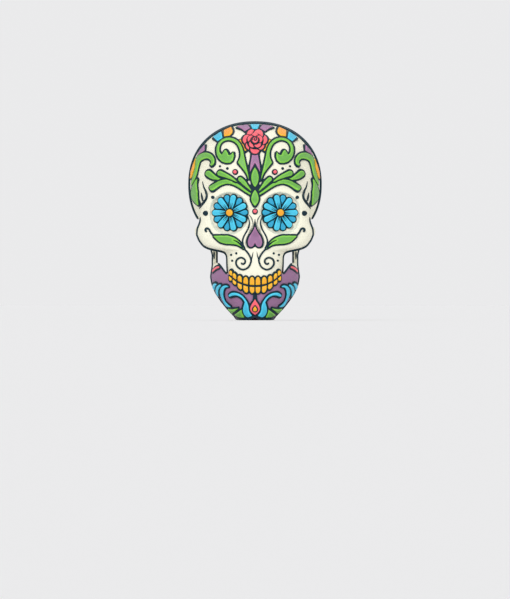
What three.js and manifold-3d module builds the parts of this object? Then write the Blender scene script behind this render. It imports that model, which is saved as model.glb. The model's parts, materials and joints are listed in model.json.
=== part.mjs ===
// A life-size decorated sugar skull. Two cast shells are glued along an icing seam and tip back
// on two hinge pins, and the jaw stays on the table and is the base. Rows of teeth and cut-outs
// of coloured paste lie in layers on the face, the crown and the jaw. Lengths are millimetres,
// the face looks along -Y and +Z is up. Left and right are those of a person facing the skull.
import * as THREE from "three";
import { mergeVertices } from "three/addons/utils/BufferGeometryUtils.js";
import Module from "manifold-3d";

const wasm = await Module();
wasm.setup();

// Driving sizes of the cranium
const skullHeight = 220;
const craniumWidth = 148;
const foreheadReach = 84;
const occiputReach = 88;
const crownRise = 69;
const baseDrop = 69;
const shellWall = 5;

// Driving sizes of the face
const cheekWidth = 130;
const mouthWidth = 63;
const faceDepth = 91;
const faceBack = 34;
const nasalWidth = 15;
const nasalRise = 7;
const nasalLength = 34;
const archThickness = 7;
const archHeight = 11;
const palateWidth = 40;
const palateLength = 76;
const palateRise = 22;
const noseWidth = 19;
const noseLength = 29;
const noseRecess = 3;

// Eye sockets
const socketSpacing = 55;
const socketDepth = 6;
const socketFloorRadius = 21.4;
const socketFlare = 2.4;

// Gaps and the icing seam
const gluedGap = 0.3;
const seamWidth = 4;
const seamRise = 1.2;
const seamDepth = 1.6;

// Jaw, bite and hinge
const jawWidth = 101;
const jawWall = 7.5;
const jawFloor = 8;
const chinThickness = 12;
const jawBend = 12;
const jawHeel = 26;
const chinCleftWidth = 10;
const chinCleftHeight = 3.4;
const biteGap = 0.6;
const hingeInset = 8;
const pinRadius = 2.5;
const pinHeadRadius = 5;
const pinHeadThickness = 2;
const pinGrip = 9;
const condyleRadius = 8.5;
const condyleClearance = 1.5;
const lugRadius = 8;
const lugLength = 14;
const washerThickness = 1;
const washerRadius = 7;

// Teeth
const toothThickness = 3;
const gumThickness = 1;
const gumHeight = 5;
const toothGap = 1.1;

// Layers of paste
const backingThickness = 1.1;
const fillThickness = 1.3;
const rimWidth = 1.4;
const lineWidth = 1;
const strokeWidth = 1.8;
const petalThickness = 1.6;
const flowerRadius = 20.6;
const buttonRadius = 4.6;
const buttonRise = 2.2;
const roseRadius = 13.5;
const beadRadius = 2.4;
const jawPasteReach = 34;
const dropWidth = 10.4;
const leafHalf = 4.6;
const clubHalf = 3.4;
const stemHalf = 1.3;
const tipHalf = 0.6;
const scrollRadius = 14;
const scrollEndRadius = 5.4;
const scrollHalf = 2.6;
const vineHalf = 3.6;
const vineLeafHalf = 3.2;
const cheekLeafHalf = 4.4;
const lipSpiralRadius = 7.5;
const waveHalf = 2.4;
const commaHalf = 1.6;
const curlFootHalf = 2.9;
const chinLeafHalf = 3.4;

// Fineness of the facets, and small working lengths
const craniumSlices = 24;
const craniumRings = 12;
const sectionSides = 20;
const jawSides = 14;
const roundSides = 12;
const socketSides = 20;
const curveSteps = 3;
const bandSteps = 5;
const capSteps = 3;
const archSides = 8;
const lobeSteps = 5;
const overrun = 40;
const mergeDistance = 1e-3;

// The hinge's height over the skull's
const hingeHeightShare = 0.4136;

// Roundness of the forms: 2 is an ellipse, more is squarer
const craniumFullness = 2.2;
const faceFullness = 2.3;
const jawFullness = 2.5;
const browNarrowingShare = 0.08;

// Sizes worked out from the driving ones
const halfSpan = craniumWidth / 2;
const hingeHeight = skullHeight * hingeHeightShare;
const halfWidth = halfSpan - seamRise;
const halfCheek = cheekWidth / 2;
const halfMouth = mouthWidth / 2;
const halfJaw = jawWidth / 2;
const craniumCentre = skullHeight - seamRise - crownRise;
const backingTop = gluedGap + backingThickness;
const fillBottom = backingTop + gluedGap;
const fillTop = fillBottom + fillThickness;
const condyleInner = halfJaw - jawWall;
const washerInner = condyleInner - gluedGap - washerThickness;
const lugOuter = washerInner - gluedGap;
const fossaRadius = condyleRadius + condyleClearance;
const boreRadius = pinRadius + gluedGap;
const fossaOuter = halfJaw + gluedGap + pinHeadThickness + condyleClearance;
const biteReach = halfMouth + jawWall / 4;

// Colours, and how rough the surfaces look
const cream = "#f6f2da";
const ink = "#173f4b";
const green = "#68b04a";
const purple = "#94689a";
const lightBlue = "#3fbfe2";
const deepBlue = "#2f93c0";
const red = "#f4606c";
const orange = "#fca728";
const gold = "#f9b023";
const steel = "#a9adb2";
const mattRoughness = 0.7;
const glossRoughness = 0.35;

// Sections of the upper jaw: height over the skull, half-width over the mouth's, reach over the face's
const upperJawShares = [
  [0.155, 0.86, 0.972],
  [0.182, 0.89, 0.989],
  [0.227, 0.984, 1],
  [0.273, 1, 1],
  [0.318, 1.01, 0.989],
  [0.336, 1.06, 0.983],
  [0.347, 1.2, 0.978],
];

// Sections of the cheeks and brow: height, half-width over the cheeks', reach
const cheekShares = [
  [0.356, 0.785, 0.978],
  [0.372, 0.892, 0.978],
  [0.4, 0.962, 0.978],
  [0.428, 1, 0.975],
  [0.455, 0.992, 0.967],
  [0.491, 0.946, 0.956],
  [0.536, 0.923, 0.944],
  [0.573, 0.908, 0.956],
  [0.609, 0.877, 0.967],
  [0.65, 0.769, 0.933],
  [0.691, 0.585, 0.878],
];

// Sections of the jaw: height, half-width over the jaw's, reach over the face's
const jawShares = [
  [0, 0.34, 0.889],
  [0.007, 0.41, 0.905],
  [0.035, 0.527, 0.95],
  [0.063, 0.642, 0.975],
  [0.098, 0.764, 0.989],
  [0.14, 0.885, 0.989],
  [0.182, 0.962, 0.986],
  [0.218, 0.99, 0.978],
  [0.273, 0.955, 0.95],
  [0.327, 0.955, 0.91],
  [0.355, 0.99, 0.89],
  [0.48, 1, 0.89],
];

// Side view of the jaw behind the teeth: reach over the face's (forward is minus), height
const ramusShares = [
  [-0.47, 0.286],
  [-0.445, 0.33],
  [-0.395, 0.4],
  [-0.34, 0.418],
  [-0.29, 0.4],
  [-0.23, 0.374],
  [-0.16, 0.4],
  [0, 0.4],
  [0.035, 0.34],
  [0.06, 0.27],
  [0.11, 0.18],
  [0.2, 0.1],
  [0.27, 0.03],
  [0.25, 0],
];

// Cheek arch: way from the cranium's side to the cheek's, reach over the face's, height
const archShares = [
  [0, -0.02, 0.475],
  [0.69, -0.13, 0.455],
  [0.96, -0.27, 0.446],
  [0.95, -0.42, 0.441],
  [0.5, -0.56, 0.436],
];
const archRootShare = 0.75;
const archOuterShare = 0.98;

// Bite line: its height at the middle, its rise at the corners and how late it turns up
const biteShare = 0.17;
const biteRiseShare = 0.052;
const biteReachShare = 0.89;
const biteCurve = 2.3;

// Front edge of the ramus on the front view: across over half the jaw's width, height
const ramusFrontShares = [
  [0.752, 0.27],
  [0.82, 0.283],
  [0.835, 0.36],
  [0.835, 0.47],
];

// Teeth from the middle: place over half the mouth, half-width over it, upper and lower root heights
const toothShares = [
  [0.11, 0.107, 0.214, 0.129],
  [0.328, 0.107, 0.213, 0.133],
  [0.537, 0.098, 0.224, 0.149],
  [0.713, 0.077, 0.238, 0.17],
  [0.853, 0.062, 0.25, 0.193],
];

// Routes on the front view: across over half the cranium, up over the skull's height
const budShares = [
  [0.055, 0.862],
  [0.07, 0.8],
  [0.088, 0.728],
  [0.045, 0.748],
];
const centreLeafShares = [
  [0, 0.762],
  [0, 0.668],
  [0, 0.572],
];
const fanShares = [
  [
    [0.06, 0.65],
    [0.27, 0.688],
    [0.52, 0.7],
    [0.72, 0.73],
  ],
  [
    [0.05, 0.642],
    [0.243, 0.678],
    [0.446, 0.686],
    [0.635, 0.662],
  ],
  [
    [0.2, 0.69],
    [0.37, 0.722],
    [0.54, 0.742],
  ],
  [
    [0.07, 0.662],
    [0.135, 0.683],
    [0.215, 0.706],
  ],
];
const scrollStemShares = [
  [0.05, 0.672],
  [0.135, 0.718],
  [0.215, 0.772],
];
const scrollCentreShare = [0.43, 0.822];
const vineShares = [
  [
    [0.71, 0.775],
    [0.655, 0.8],
    [0.715, 0.829],
    [0.81, 0.815],
    [0.87, 0.77],
    [0.905, 0.71],
  ],
  [
    [0.885, 0.74],
    [0.93, 0.69],
    [0.91, 0.63],
  ],
  [
    [0.905, 0.675],
    [0.9, 0.61],
    [0.83, 0.55],
  ],
];
const cheekLeafShares = [
  [0.19, 0.372],
  [0.33, 0.396],
  [0.48, 0.405],
  [0.63, 0.412],
];
const cheekTailShares = [
  [0.6, 0.408],
  [0.67, 0.428],
  [0.7, 0.455],
  [0.75, 0.462],
  [0.755, 0.438],
];
const lipLinkShares = [
  [0.2, 0.368],
  [0.17, 0.34],
  [0.118, 0.318],
];
const lipSpiralCentreShare = [0.2, 0.293];

// Routes on the jaw's front view: across over half the jaw, up over the skull's height
const waveShares = [
  [0.547, 0.062],
  [0.63, 0.075],
  [0.697, 0.1],
  [0.733, 0.126],
  [0.731, 0.146],
  [0.671, 0.164],
  [0.596, 0.165],
];
const commaShares = [
  [
    [0.697, 0.1],
    [0.8, 0.117],
    [0.839, 0.145],
    [0.814, 0.163],
    [0.764, 0.175],
  ],
  [
    [0.8, 0.117],
    [0.883, 0.141],
    [0.903, 0.169],
    [0.869, 0.18],
  ],
];
const curlShares = [
  [0.194, 0.021],
  [0.202, 0.055],
  [0.23, 0.084],
  [0.307, 0.11],
  [0.412, 0.124],
  [0.497, 0.126],
  [0.558, 0.119],
];
const chinLeafShares = [
  [0.293, 0.024],
  [0.406, 0.04],
  [0.539, 0.056],
];
const chinStemShares = [
  [-0.293, 0.021],
  [-0.147, 0.02],
  [0, 0.027],
  [0.147, 0.02],
  [0.293, 0.021],
];
const dropShares = [0.018, 0.115];
const bandCornerShares = [
  [0.733, 0.262],
  [1.026, 0.236],
  [1.026, 0.255],
  [0.747, 0.282],
];

// Places and proportions of the other ornaments
const roseShare = [0, 0.886];
const roseMiddleShare = 0.7;
const roseHeartShare = 0.4;
const roseLobes = 7;
const roseMiddleLobes = 5;
const roseHeartLobes = 3;
const petalDipShare = 0.14;
const petalCount = 7;
const petalNeckShare = 0.5;
const leafCurve = 0.8;
const scrollTurnShare = 0.92;
const scrollSwellShare = 0.33;
const scrollClubShare = 0.9;
const lipSpiralTurnShare = -1.2;
const dropRoundShare = 0.36;
const noseLobeShare = 0.26;
const noseNotchShare = 0.13;
const noseFlankShare = 0.35;
const noseFootShare = 0.2;
const noseShoulderShare = 0.18;
const socketReachShare = 3;
const toothShoulderShare = 0.5;
const archLiftShare = 4 / 3;
const chinCleftReachShare = 0.72;
const seamFootShare = 0.51;

// Crown tiles: edges in degrees from the top, inner and outer border over the cranium's outline
const crownTiles = [
  [-64, -53, purple],
  [-45, -34, lightBlue],
  [-34, -22, orange],
  [-19, -6, purple],
  [-6, 6, lightBlue],
  [6, 19, purple],
  [22, 34, orange],
  [34, 45, lightBlue],
  [53, 64, purple],
];
const crownShares = [0.83, 0.96];
const tileGapShare = 0.009;
const crownLineShare = 0.965;
const crownLineReach = 58;
const browBeadShare = [0, 0.543];
const foreheadBeadShare = [0.295, 0.741];
const socketHeightShare = 0.536;
const socketFaceShare = 0.923;
const noseHeightShare = 0.422;
const bridgeHeightShare = 0.5;
const bridgeFaceShare = 0.956;
const socketTilt = THREE.MathUtils.degToRad(13);
const socketFloorReach = faceDepth * socketFaceShare - socketDepth;

// Solids from geometry and back
function solidOf(geometry) {
  const bare = new THREE.BufferGeometry();
  bare.setAttribute("position", geometry.getAttribute("position"));
  bare.setIndex(geometry.index);
  const merged = mergeVertices(bare, mergeDistance);
  const vertProperties = merged.getAttribute("position").array;
  const triVerts = new Uint32Array(merged.index.array);
  return new wasm.Manifold(new wasm.Mesh({ numProp: 3, vertProperties, triVerts }));
}

function geometryOf(solid) {
  const { vertProperties, triVerts } = solid.getMesh();
  const geometry = new THREE.BufferGeometry();
  geometry.setAttribute("position", new THREE.BufferAttribute(new Float32Array(vertProperties), 3));
  geometry.setIndex(new THREE.BufferAttribute(new Uint32Array(triVerts), 1));
  geometry.computeVertexNormals();
  return geometry;
}

const joined = (solids) => solids.reduce((whole, solid) => whole.add(solid));

// The largest body of a solid: crumbs that a cut leaves loose are dropped
function mainBody(solid) {
  const bodies = solid.decompose();
  return bodies.reduce((best, body) => (body.volume() > best.volume() ? body : best));
}

function block(size, centre) {
  const geometry = new THREE.BoxGeometry(size.x, size.y, size.z);
  geometry.translate(centre.x, centre.y, centre.z);
  return solidOf(geometry);
}

// A round bar along X at the hinge's height and inset
function hingeBar(radius, from, to) {
  const geometry = new THREE.CylinderGeometry(radius, radius, Math.abs(to - from), roundSides);
  geometry.rotateZ(Math.PI / 2);
  geometry.translate((from + to) / 2, -hingeInset, hingeHeight);
  return solidOf(geometry);
}

// A skin over closed sections with equal counts of points, and a fan over each end
function loft(sections) {
  const count = sections[0].length;
  const faces = [];
  for (let s = 0; s + 1 < sections.length; s += 1) {
    const low = s * count;
    const high = low + count;
    for (let i = 0; i < count; i += 1) {
      const next = (i + 1) % count;
      faces.push(low + i, low + next, high + next);
      faces.push(low + i, high + next, high + i);
    }
  }
  const last = (sections.length - 1) * count;
  for (let i = 1; i + 1 < count; i += 1) {
    faces.push(0, i + 1, i);
    faces.push(last, last + i, last + i + 1);
  }
  const geometry = new THREE.BufferGeometry().setFromPoints(sections.flat());
  geometry.setIndex(faces);
  return solidOf(geometry);
}

const powered = (value, power) => Math.sign(value) * Math.abs(value) ** power;

// A rounded level section between two depths
function faceSection(half, front, back, height) {
  const points = [];
  const middle = (front + back) / 2;
  for (let i = 0; i < sectionSides; i += 1) {
    const angle = (i / sectionSides) * Math.PI * 2;
    const x = half * powered(Math.cos(angle), 2 / faceFullness);
    const y = middle + (back - middle) * powered(Math.sin(angle), 2 / faceFullness);
    points.push(new THREE.Vector3(x, y, height));
  }
  return points;
}

// A level section of the jaw: a rounded front and straight sides to the heel
function jawSection(half, front, back, height) {
  const points = [];
  for (let i = 0; i <= jawSides; i += 1) {
    const angle = Math.PI + (i / jawSides) * Math.PI;
    const x = half * powered(Math.cos(angle), 2 / jawFullness);
    const y = -jawBend + (-jawBend - front) * powered(Math.sin(angle), 2 / jawFullness);
    points.push(new THREE.Vector3(x, y, height));
  }
  points.push(new THREE.Vector3(half, back, height));
  points.push(new THREE.Vector3(-half, back, height));
  return points;
}

// The forms of the head, each thickened outwards by grow
function braincase(grow, fineness = 1) {
  const geometry = new THREE.SphereGeometry(1, craniumSlices * fineness, craniumRings * fineness);
  geometry.rotateX(Math.PI / 2);
  const position = geometry.getAttribute("position");
  for (let i = 0; i < position.count; i += 1) {
    const point = new THREE.Vector3().fromBufferAttribute(position, i);
    const sum = [point.x, point.y, point.z].reduce((all, v) => all + Math.abs(v) ** craniumFullness, 0);
    point.divideScalar(sum ** (1 / craniumFullness));
    const reach = point.y < 0 ? foreheadReach : occiputReach;
    const rise = point.z > 0 ? crownRise : baseDrop;
    const narrowing = 1 - browNarrowingShare * Math.min(0, point.y) ** 2;
    const x = point.x * narrowing * (halfWidth + grow);
    position.setXYZ(i, x, point.y * (reach + grow), craniumCentre + point.z * (rise + grow));
  }
  return solidOf(geometry);
}

function faceForm(grow) {
  const rows = [
    ...upperJawShares.map(([up, across, reach]) => [up, across * halfMouth, reach]),
    ...cheekShares.map(([up, across, reach]) => [up, across * halfCheek, reach]),
  ];
  const sections = rows.map(([up, half, reach]) => {
    const front = -reach * faceDepth - grow;
    return faceSection(half + grow, front, grow - faceBack, up * skullHeight);
  });
  return loft(sections);
}

function nasalBridge(grow) {
  const geometry = new THREE.SphereGeometry(1, roundSides, roundSides / 2);
  geometry.scale(nasalWidth / 2 + grow, nasalRise + grow, nasalLength / 2 + grow);
  geometry.translate(0, -faceDepth * bridgeFaceShare, bridgeHeightShare * skullHeight);
  return solidOf(geometry);
}

const headForms = new Map();

function headForm(grow) {
  if (!headForms.has(grow)) {
    headForms.set(grow, joined([braincase(grow), faceForm(grow), nasalBridge(grow)]));
  }
  return headForms.get(grow);
}

function jawForm(grow) {
  const sections = jawShares.map(([up, across, reach]) => {
    const front = -reach * faceDepth - grow;
    return jawSection(across * halfJaw + grow, front, jawHeel + overrun, up * skullHeight);
  });
  return loft(sections);
}

const headLayer = (from, to) => headForm(to).subtract(headForm(from));
const jawLayer = (from, to) => jawForm(to).subtract(jawForm(from));

// Outlines on the front view, and the prism that carries one through the front of the skull
const placeOn = (half) => ([across, up]) => new THREE.Vector2(across * half, up * skullHeight);
const place = placeOn(halfSpan);
const turned = (points, side) => points.map((point) => new THREE.Vector2(side * point.x, point.y));

function prism(shape, front = -faceDepth - overrun, back = -seamWidth) {
  const settings = { depth: back - front, bevelEnabled: false, curveSegments: curveSteps };
  const geometry = new THREE.ExtrudeGeometry(shape, settings);
  geometry.rotateX(Math.PI / 2);
  geometry.translate(0, back, 0);
  return solidOf(geometry);
}

// A band along a smooth line, as wide as halfWidthAt says, with rounded ends
function band(points, halfWidthAt, rim = 0, steps = bandSteps) {
  const line = new THREE.SplineCurve(points);
  const side = (t, turn) => {
    const along = line.getTangentAt(t);
    const reach = halfWidthAt(t) + rim;
    const away = new THREE.Vector2(Math.cos(turn), Math.sin(turn)).multiplyScalar(reach);
    const across = new THREE.Vector2(-along.y, along.x).multiplyScalar(away.y);
    return line.getPointAt(t).add(along.clone().multiplyScalar(away.x)).add(across);
  };
  const outline = [];
  for (let i = 0; i <= steps; i += 1) outline.push(side(i / steps, Math.PI / 2));
  for (let i = 1; i < capSteps; i += 1) outline.push(side(1, Math.PI / 2 - (i / capSteps) * Math.PI));
  for (let i = steps; i >= 0; i -= 1) outline.push(side(i / steps, -Math.PI / 2));
  for (let i = 1; i < capSteps; i += 1) outline.push(side(0, -Math.PI / 2 - (i / capSteps) * Math.PI));
  return new THREE.Shape(outline);
}

// A round outline, or one with lobes that dip to a share of the radius and turn by part of a lobe
function disc(centre, radius, lobes = 0, dipShare = 0, turn = 0) {
  const outline = [];
  const steps = lobes ? lobes * lobeSteps : roundSides;
  for (let i = 0; i < steps; i += 1) {
    const swell = Math.abs(Math.sin((i / steps) * lobes * Math.PI)) ** leafCurve;
    const reach = lobes ? radius * THREE.MathUtils.lerp(1 - dipShare, 1, swell) : radius;
    const angle = (i / steps + (lobes ? turn / lobes : 0)) * Math.PI * 2;
    outline.push(new THREE.Vector2(reach * Math.cos(angle), reach * Math.sin(angle)).add(centre));
  }
  return new THREE.Shape(outline);
}

// Height of the line where the tooth rows meet
function biteHeight(x) {
  const turn = (Math.abs(x) / (halfMouth * biteReachShare)) ** biteCurve;
  return skullHeight * (biteShare + biteRiseShare * turn);
}

// Points along the bite line from the left to the right, moved up by lift
function biteLine(reach, lift) {
  const points = [];
  for (let i = -bandSteps; i <= bandSteps; i += 1) {
    const x = (i / bandSteps) * reach;
    points.push(new THREE.Vector2(x, biteHeight(x) + lift));
  }
  return points;
}

const sides = [
  ["left", -1],
  ["right", 1],
];
const bothSides = (make) => joined(sides.map(([, side]) => make(side)));
const farFront = -faceDepth - overrun;
const faceMiddle = -(faceDepth + faceBack) / 2;
const lowBiteLine = biteLine(biteReach, -biteGap / 2);

const facePrism = (shape) => prism(shape, farFront, faceMiddle);

// A closed ball shape stretched to three half-sizes
function ellipsoid(halfSizes, centre) {
  const geometry = new THREE.SphereGeometry(1, roundSides, roundSides / 2);
  geometry.scale(halfSizes.x, halfSizes.y, halfSizes.z);
  geometry.translate(centre.x, centre.y, centre.z);
  return solidOf(geometry);
}

// The cranium: cheek arches, hollow, sockets, nose recess, seam and palate
function cheekArch(side) {
  const root = halfWidth * archRootShare;
  const outer = halfCheek * archOuterShare;
  const sections = archShares.map(([way, reach, up]) => {
    const middle = side * THREE.MathUtils.lerp(root, outer, way);
    const points = [];
    for (let i = 0; i < archSides; i += 1) {
      const angle = (i / archSides) * Math.PI * 2;
      const x = middle + (archThickness / 2) * Math.cos(angle);
      const z = up * skullHeight + (archHeight / 2) * Math.sin(angle);
      points.push(new THREE.Vector3(x, reach * faceDepth, z));
    }
    return points;
  });
  return loft(sections);
}

function hollow() {
  const guard = (side) => {
    const from = side * (lugOuter - shellWall);
    return hingeBar(fossaRadius + shellWall, from, side * halfSpan);
  };
  return braincase(-shellWall, 1 / 2).subtract(bothSides(guard));
}

// A flared cup whose floor faces out of the socket
function socketCutter(side) {
  const depth = socketDepth * socketReachShare;
  const mouth = socketFloorRadius + socketFlare * socketReachShare;
  const geometry = new THREE.CylinderGeometry(socketFloorRadius, mouth, depth, socketSides);
  geometry.translate(0, -depth / 2, 0);
  geometry.rotateZ(side * socketTilt);
  geometry.translate((side * socketSpacing) / 2, -socketFloorReach, socketHeightShare * skullHeight);
  return solidOf(geometry);
}

function noseShape(rim) {
  const half = noseWidth / 2 + rim;
  const middle = noseHeightShare * skullHeight;
  const top = middle + noseLength / 2 + rim * 2;
  const bottom = middle - noseLength / 2 - rim;
  const lobe = bottom + noseLength * noseLobeShare;
  const notch = bottom + noseLength * noseNotchShare;
  const flank = half * noseFlankShare;
  const foot = half * noseFootShare;
  const shoulder = middle + noseLength * noseShoulderShare;
  const shape = new THREE.Shape();
  shape.moveTo(0, top);
  shape.bezierCurveTo(flank, shoulder, half, middle - rim, half, lobe);
  shape.bezierCurveTo(half, bottom, foot, bottom, 0, notch);
  shape.bezierCurveTo(-foot, bottom, -half, bottom, -half, lobe);
  shape.bezierCurveTo(-half, middle - rim, -flank, shoulder, 0, top);
  return shape;
}

function seamBand(clearance) {
  const rise = braincase(seamRise + clearance);
  const foot = seamFootShare * skullHeight - clearance;
  const height = skullHeight + overrun - foot;
  const slab = block(
    new THREE.Vector3(craniumWidth + overrun, seamWidth + 2 * clearance, height),
    new THREE.Vector3(0, 0, foot + height / 2),
  );
  return rise.subtract(braincase(-seamDepth - clearance)).intersect(slab);
}

function belowBite() {
  const outline = biteLine(biteReach, biteGap / 2);
  outline.push(new THREE.Vector2(biteReach, -overrun));
  outline.push(new THREE.Vector2(-biteReach, -overrun));
  return prism(new THREE.Shape(outline), farFront, overrun);
}

function cranium() {
  const outside = joined([headForm(0), bothSides(cheekArch)]);
  const palate = ellipsoid(
    new THREE.Vector3(palateWidth / 2, palateLength / 2, palateRise),
    new THREE.Vector3(0, -faceBack, biteShare * skullHeight),
  );
  const nose = facePrism(noseShape(rimWidth + gluedGap)).subtract(headForm(-noseRecess));
  const fossa = (side) => hingeBar(fossaRadius, side * lugOuter, side * fossaOuter);
  const lug = (side) => hingeBar(lugRadius, side * lugOuter, side * (lugOuter - lugLength));
  const bore = (side) => {
    const from = side * (lugOuter - pinGrip - gluedGap);
    return hingeBar(boreRadius, from, side * (lugOuter + overrun));
  };
  const cutters = [hollow(), bothSides(socketCutter), palate, nose, belowBite(), bothSides(fossa)];
  return outside
    .subtract(joined(cutters))
    .add(bothSides(lug))
    .subtract(bothSides(bore))
    .subtract(seamBand(gluedGap));
}

// All that lies behind a depth (side 1) or in front of it (side -1)
function beyond(side, depth) {
  const reach = 2 * (occiputReach + overrun);
  const size = new THREE.Vector3(craniumWidth + overrun, reach, 2 * (skullHeight + overrun));
  return block(size, new THREE.Vector3(0, depth + (side * reach) / 2, 0));
}

// The jaw: a tray with two branches that carry the hinge
function jawHollow() {
  const sections = jawShares.map(([up, across, reach]) => {
    const front = chinThickness - reach * faceDepth;
    const half = across * halfJaw - jawWall;
    return jawSection(half, front, jawHeel + 2 * overrun, up * skullHeight + jawFloor);
  });
  return loft(sections);
}

// What stays of the jaw on the front view and on the side view
function jawLimits() {
  const outer = halfJaw + overrun;
  const top = skullHeight / 2;
  const shoulder = ramusFrontShares.map(([across, up]) => [across * halfJaw, up * skullHeight]);
  const front = [new THREE.Vector2(-outer, -overrun), new THREE.Vector2(outer, -overrun)];
  front.push(new THREE.Vector2(outer, top));
  [...shoulder].reverse().forEach(([x, z]) => front.push(new THREE.Vector2(x, z)));
  [...lowBiteLine].reverse().forEach((point) => front.push(point));
  shoulder.forEach(([x, z]) => front.push(new THREE.Vector2(-x, z)));
  front.push(new THREE.Vector2(-outer, top));
  const profile = ramusShares.map(([reach, up]) => {
    return new THREE.Vector2(reach * faceDepth, up * skullHeight);
  });
  profile.unshift(new THREE.Vector2(farFront, profile[0].y));
  profile.unshift(new THREE.Vector2(farFront, -overrun));
  profile.push(new THREE.Vector2(profile.at(-1).x, -overrun));
  const settings = { depth: 2 * outer, bevelEnabled: false };
  const geometry = new THREE.ExtrudeGeometry(new THREE.Shape(profile), settings);
  const turn = new THREE.Matrix4().makeBasis(
    new THREE.Vector3(0, 1, 0),
    new THREE.Vector3(0, 0, 1),
    new THREE.Vector3(1, 0, 0),
  );
  geometry.applyMatrix4(turn);
  geometry.translate(-outer, 0, 0);
  return prism(new THREE.Shape(front), farFront, overrun * 2).intersect(solidOf(geometry));
}

const jawKept = jawLimits();

function jaw() {
  const condyle = (side) => hingeBar(condyleRadius, side * condyleInner, side * halfJaw);
  const bore = (side) => hingeBar(boreRadius, 0, side * (halfJaw + overrun));
  const lugRoom = (side) => hingeBar(fossaRadius, 0, side * condyleInner);
  const cleft = new THREE.Shape([
    new THREE.Vector2(-chinCleftWidth / 2, 0),
    new THREE.Vector2(0, -overrun),
    new THREE.Vector2(chinCleftWidth / 2, 0),
    new THREE.Vector2(0, chinCleftHeight),
  ]);
  const cleftBack = -faceDepth * chinCleftReachShare;
  return jawForm(0)
    .subtract(jawHollow())
    .intersect(jawKept)
    .subtract(bothSides(lugRoom))
    .add(bothSides(condyle))
    .subtract(bothSides(bore))
    .subtract(prism(cleft, farFront, cleftBack));
}

// The hinge: a headed pin on each side and a friction washer inside
function hingePin(side) {
  const seat = halfJaw + gluedGap;
  const shaft = hingeBar(pinRadius, side * (lugOuter - pinGrip), side * seat);
  return shaft.add(hingeBar(pinHeadRadius, side * seat, side * (seat + pinHeadThickness)));
}

function hingeWasher(side) {
  const ring = hingeBar(washerRadius, side * washerInner, side * (washerInner + washerThickness));
  return ring.subtract(hingeBar(boreRadius, 0, side * halfSpan));
}

// One tooth from the bite line to its rounded root
function toothShape(middle, half, root) {
  const side = Math.sign(root - biteHeight(middle));
  const edge = (x) => biteHeight(x) + (side * (biteGap + gluedGap)) / 2;
  const shoulder = THREE.MathUtils.lerp(edge(middle), root, toothShoulderShare);
  const tip = THREE.MathUtils.lerp(shoulder, root, archLiftShare);
  const shape = new THREE.Shape();
  shape.moveTo(middle - half, edge(middle - half));
  shape.lineTo(middle + half, edge(middle + half));
  shape.lineTo(middle + half, shoulder);
  shape.bezierCurveTo(middle + half, tip, middle - half, tip, middle - half, shoulder);
  return shape;
}

// A row of teeth on its strip of gum: side is 1 for the upper row and -1 for the lower
function toothRow(side, layer) {
  const [lastPlace, lastHalf] = toothShares.at(-1);
  const reach = (lastPlace + lastHalf) * halfMouth - toothGap / 2;
  const near = biteLine(reach, (side * biteGap) / 2);
  const far = biteLine(reach, side * (biteGap / 2 + gumHeight)).reverse();
  const gum = facePrism(new THREE.Shape([...near, ...far]));
  const teeth = toothShares.flatMap(([across, width, upperRoot, lowerRoot]) => {
    const root = (side > 0 ? upperRoot : lowerRoot) * skullHeight;
    const half = width * halfMouth - toothGap / 2;
    return sides.map(([, turn]) => facePrism(toothShape(turn * across * halfMouth, half, root)));
  });
  const strip = gum.intersect(layer(gluedGap, gluedGap + gumThickness));
  return strip.add(joined(teeth).intersect(layer(gluedGap, gluedGap + toothThickness)));
}

// Outlines of the cut-outs: each takes the rim by which its dark backing is wider
const widening = (from, to) => (t) => THREE.MathUtils.lerp(from, to, t);
const leafWidth = (half, tip) => (t) => tip + (half - tip) * Math.sin(Math.PI * t) ** leafCurve;
const along = (shares, side) => turned(shares.map(place), side);
const alongJaw = (shares, side) => turned(shares.map(placeOn(halfJaw)), side);

const roseOutline = (rim) => [disc(place(roseShare), roseRadius + rim, roseLobes, petalDipShare)];

function budOutline(rim) {
  const grown = budShares.map(place).map((point) => point.add(new THREE.Vector2(rim, 0)));
  const right = turned(grown, 1);
  const left = turned(grown, -1).reverse();
  return [new THREE.Shape([...right, ...left])];
}

function centreLeafOutline(rim) {
  const halfAt = (t) => leafHalf * Math.abs(Math.sin(2 * Math.PI * t)) ** leafCurve;
  return [band(along(centreLeafShares, 1), (t) => Math.max(tipHalf, halfAt(t)), rim, 2 * bandSteps)];
}

const fanOutline = (side) => (rim) =>
  fanShares.map((shares) => band(along(shares, side), widening(stemHalf, clubHalf), rim));

// Points of a curl that starts on its centre's left: turns run clockwise, or back if minus
function spiral(centre, fromRadius, toRadius, turnShare) {
  const points = [];
  for (let i = 0; i <= bandSteps; i += 1) {
    const t = i / bandSteps;
    const angle = Math.PI - t * turnShare * Math.PI * 2;
    const radius = THREE.MathUtils.lerp(fromRadius, toRadius, t);
    const away = new THREE.Vector2(Math.cos(angle), Math.sin(angle)).multiplyScalar(radius);
    points.push(away.add(centre));
  }
  return points;
}

const scrollOutline = (side) => (rim) => {
  const curl = spiral(place(scrollCentreShare), scrollRadius, scrollEndRadius, scrollTurnShare);
  const route = turned([...scrollStemShares.map(place), ...curl], side);
  const swell = (t) => widening(stemHalf, scrollHalf)(Math.min(1, t / scrollSwellShare));
  const halfAt = (t) => (t < scrollClubShare ? swell(t) : clubHalf);
  return [band(route, halfAt, rim, 3 * bandSteps)];
};

const vineOutline = (side) => (rim) =>
  vineShares.map((shares, i) => {
    const width = i === 0 ? leafWidth(vineHalf, stemHalf) : leafWidth(vineLeafHalf, tipHalf);
    return band(along(shares, side), width, rim);
  });

const cheekLeafOutline = (side) => (rim) => [
  band(along(cheekLeafShares, side), leafWidth(cheekLeafHalf, tipHalf), rim),
];

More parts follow.
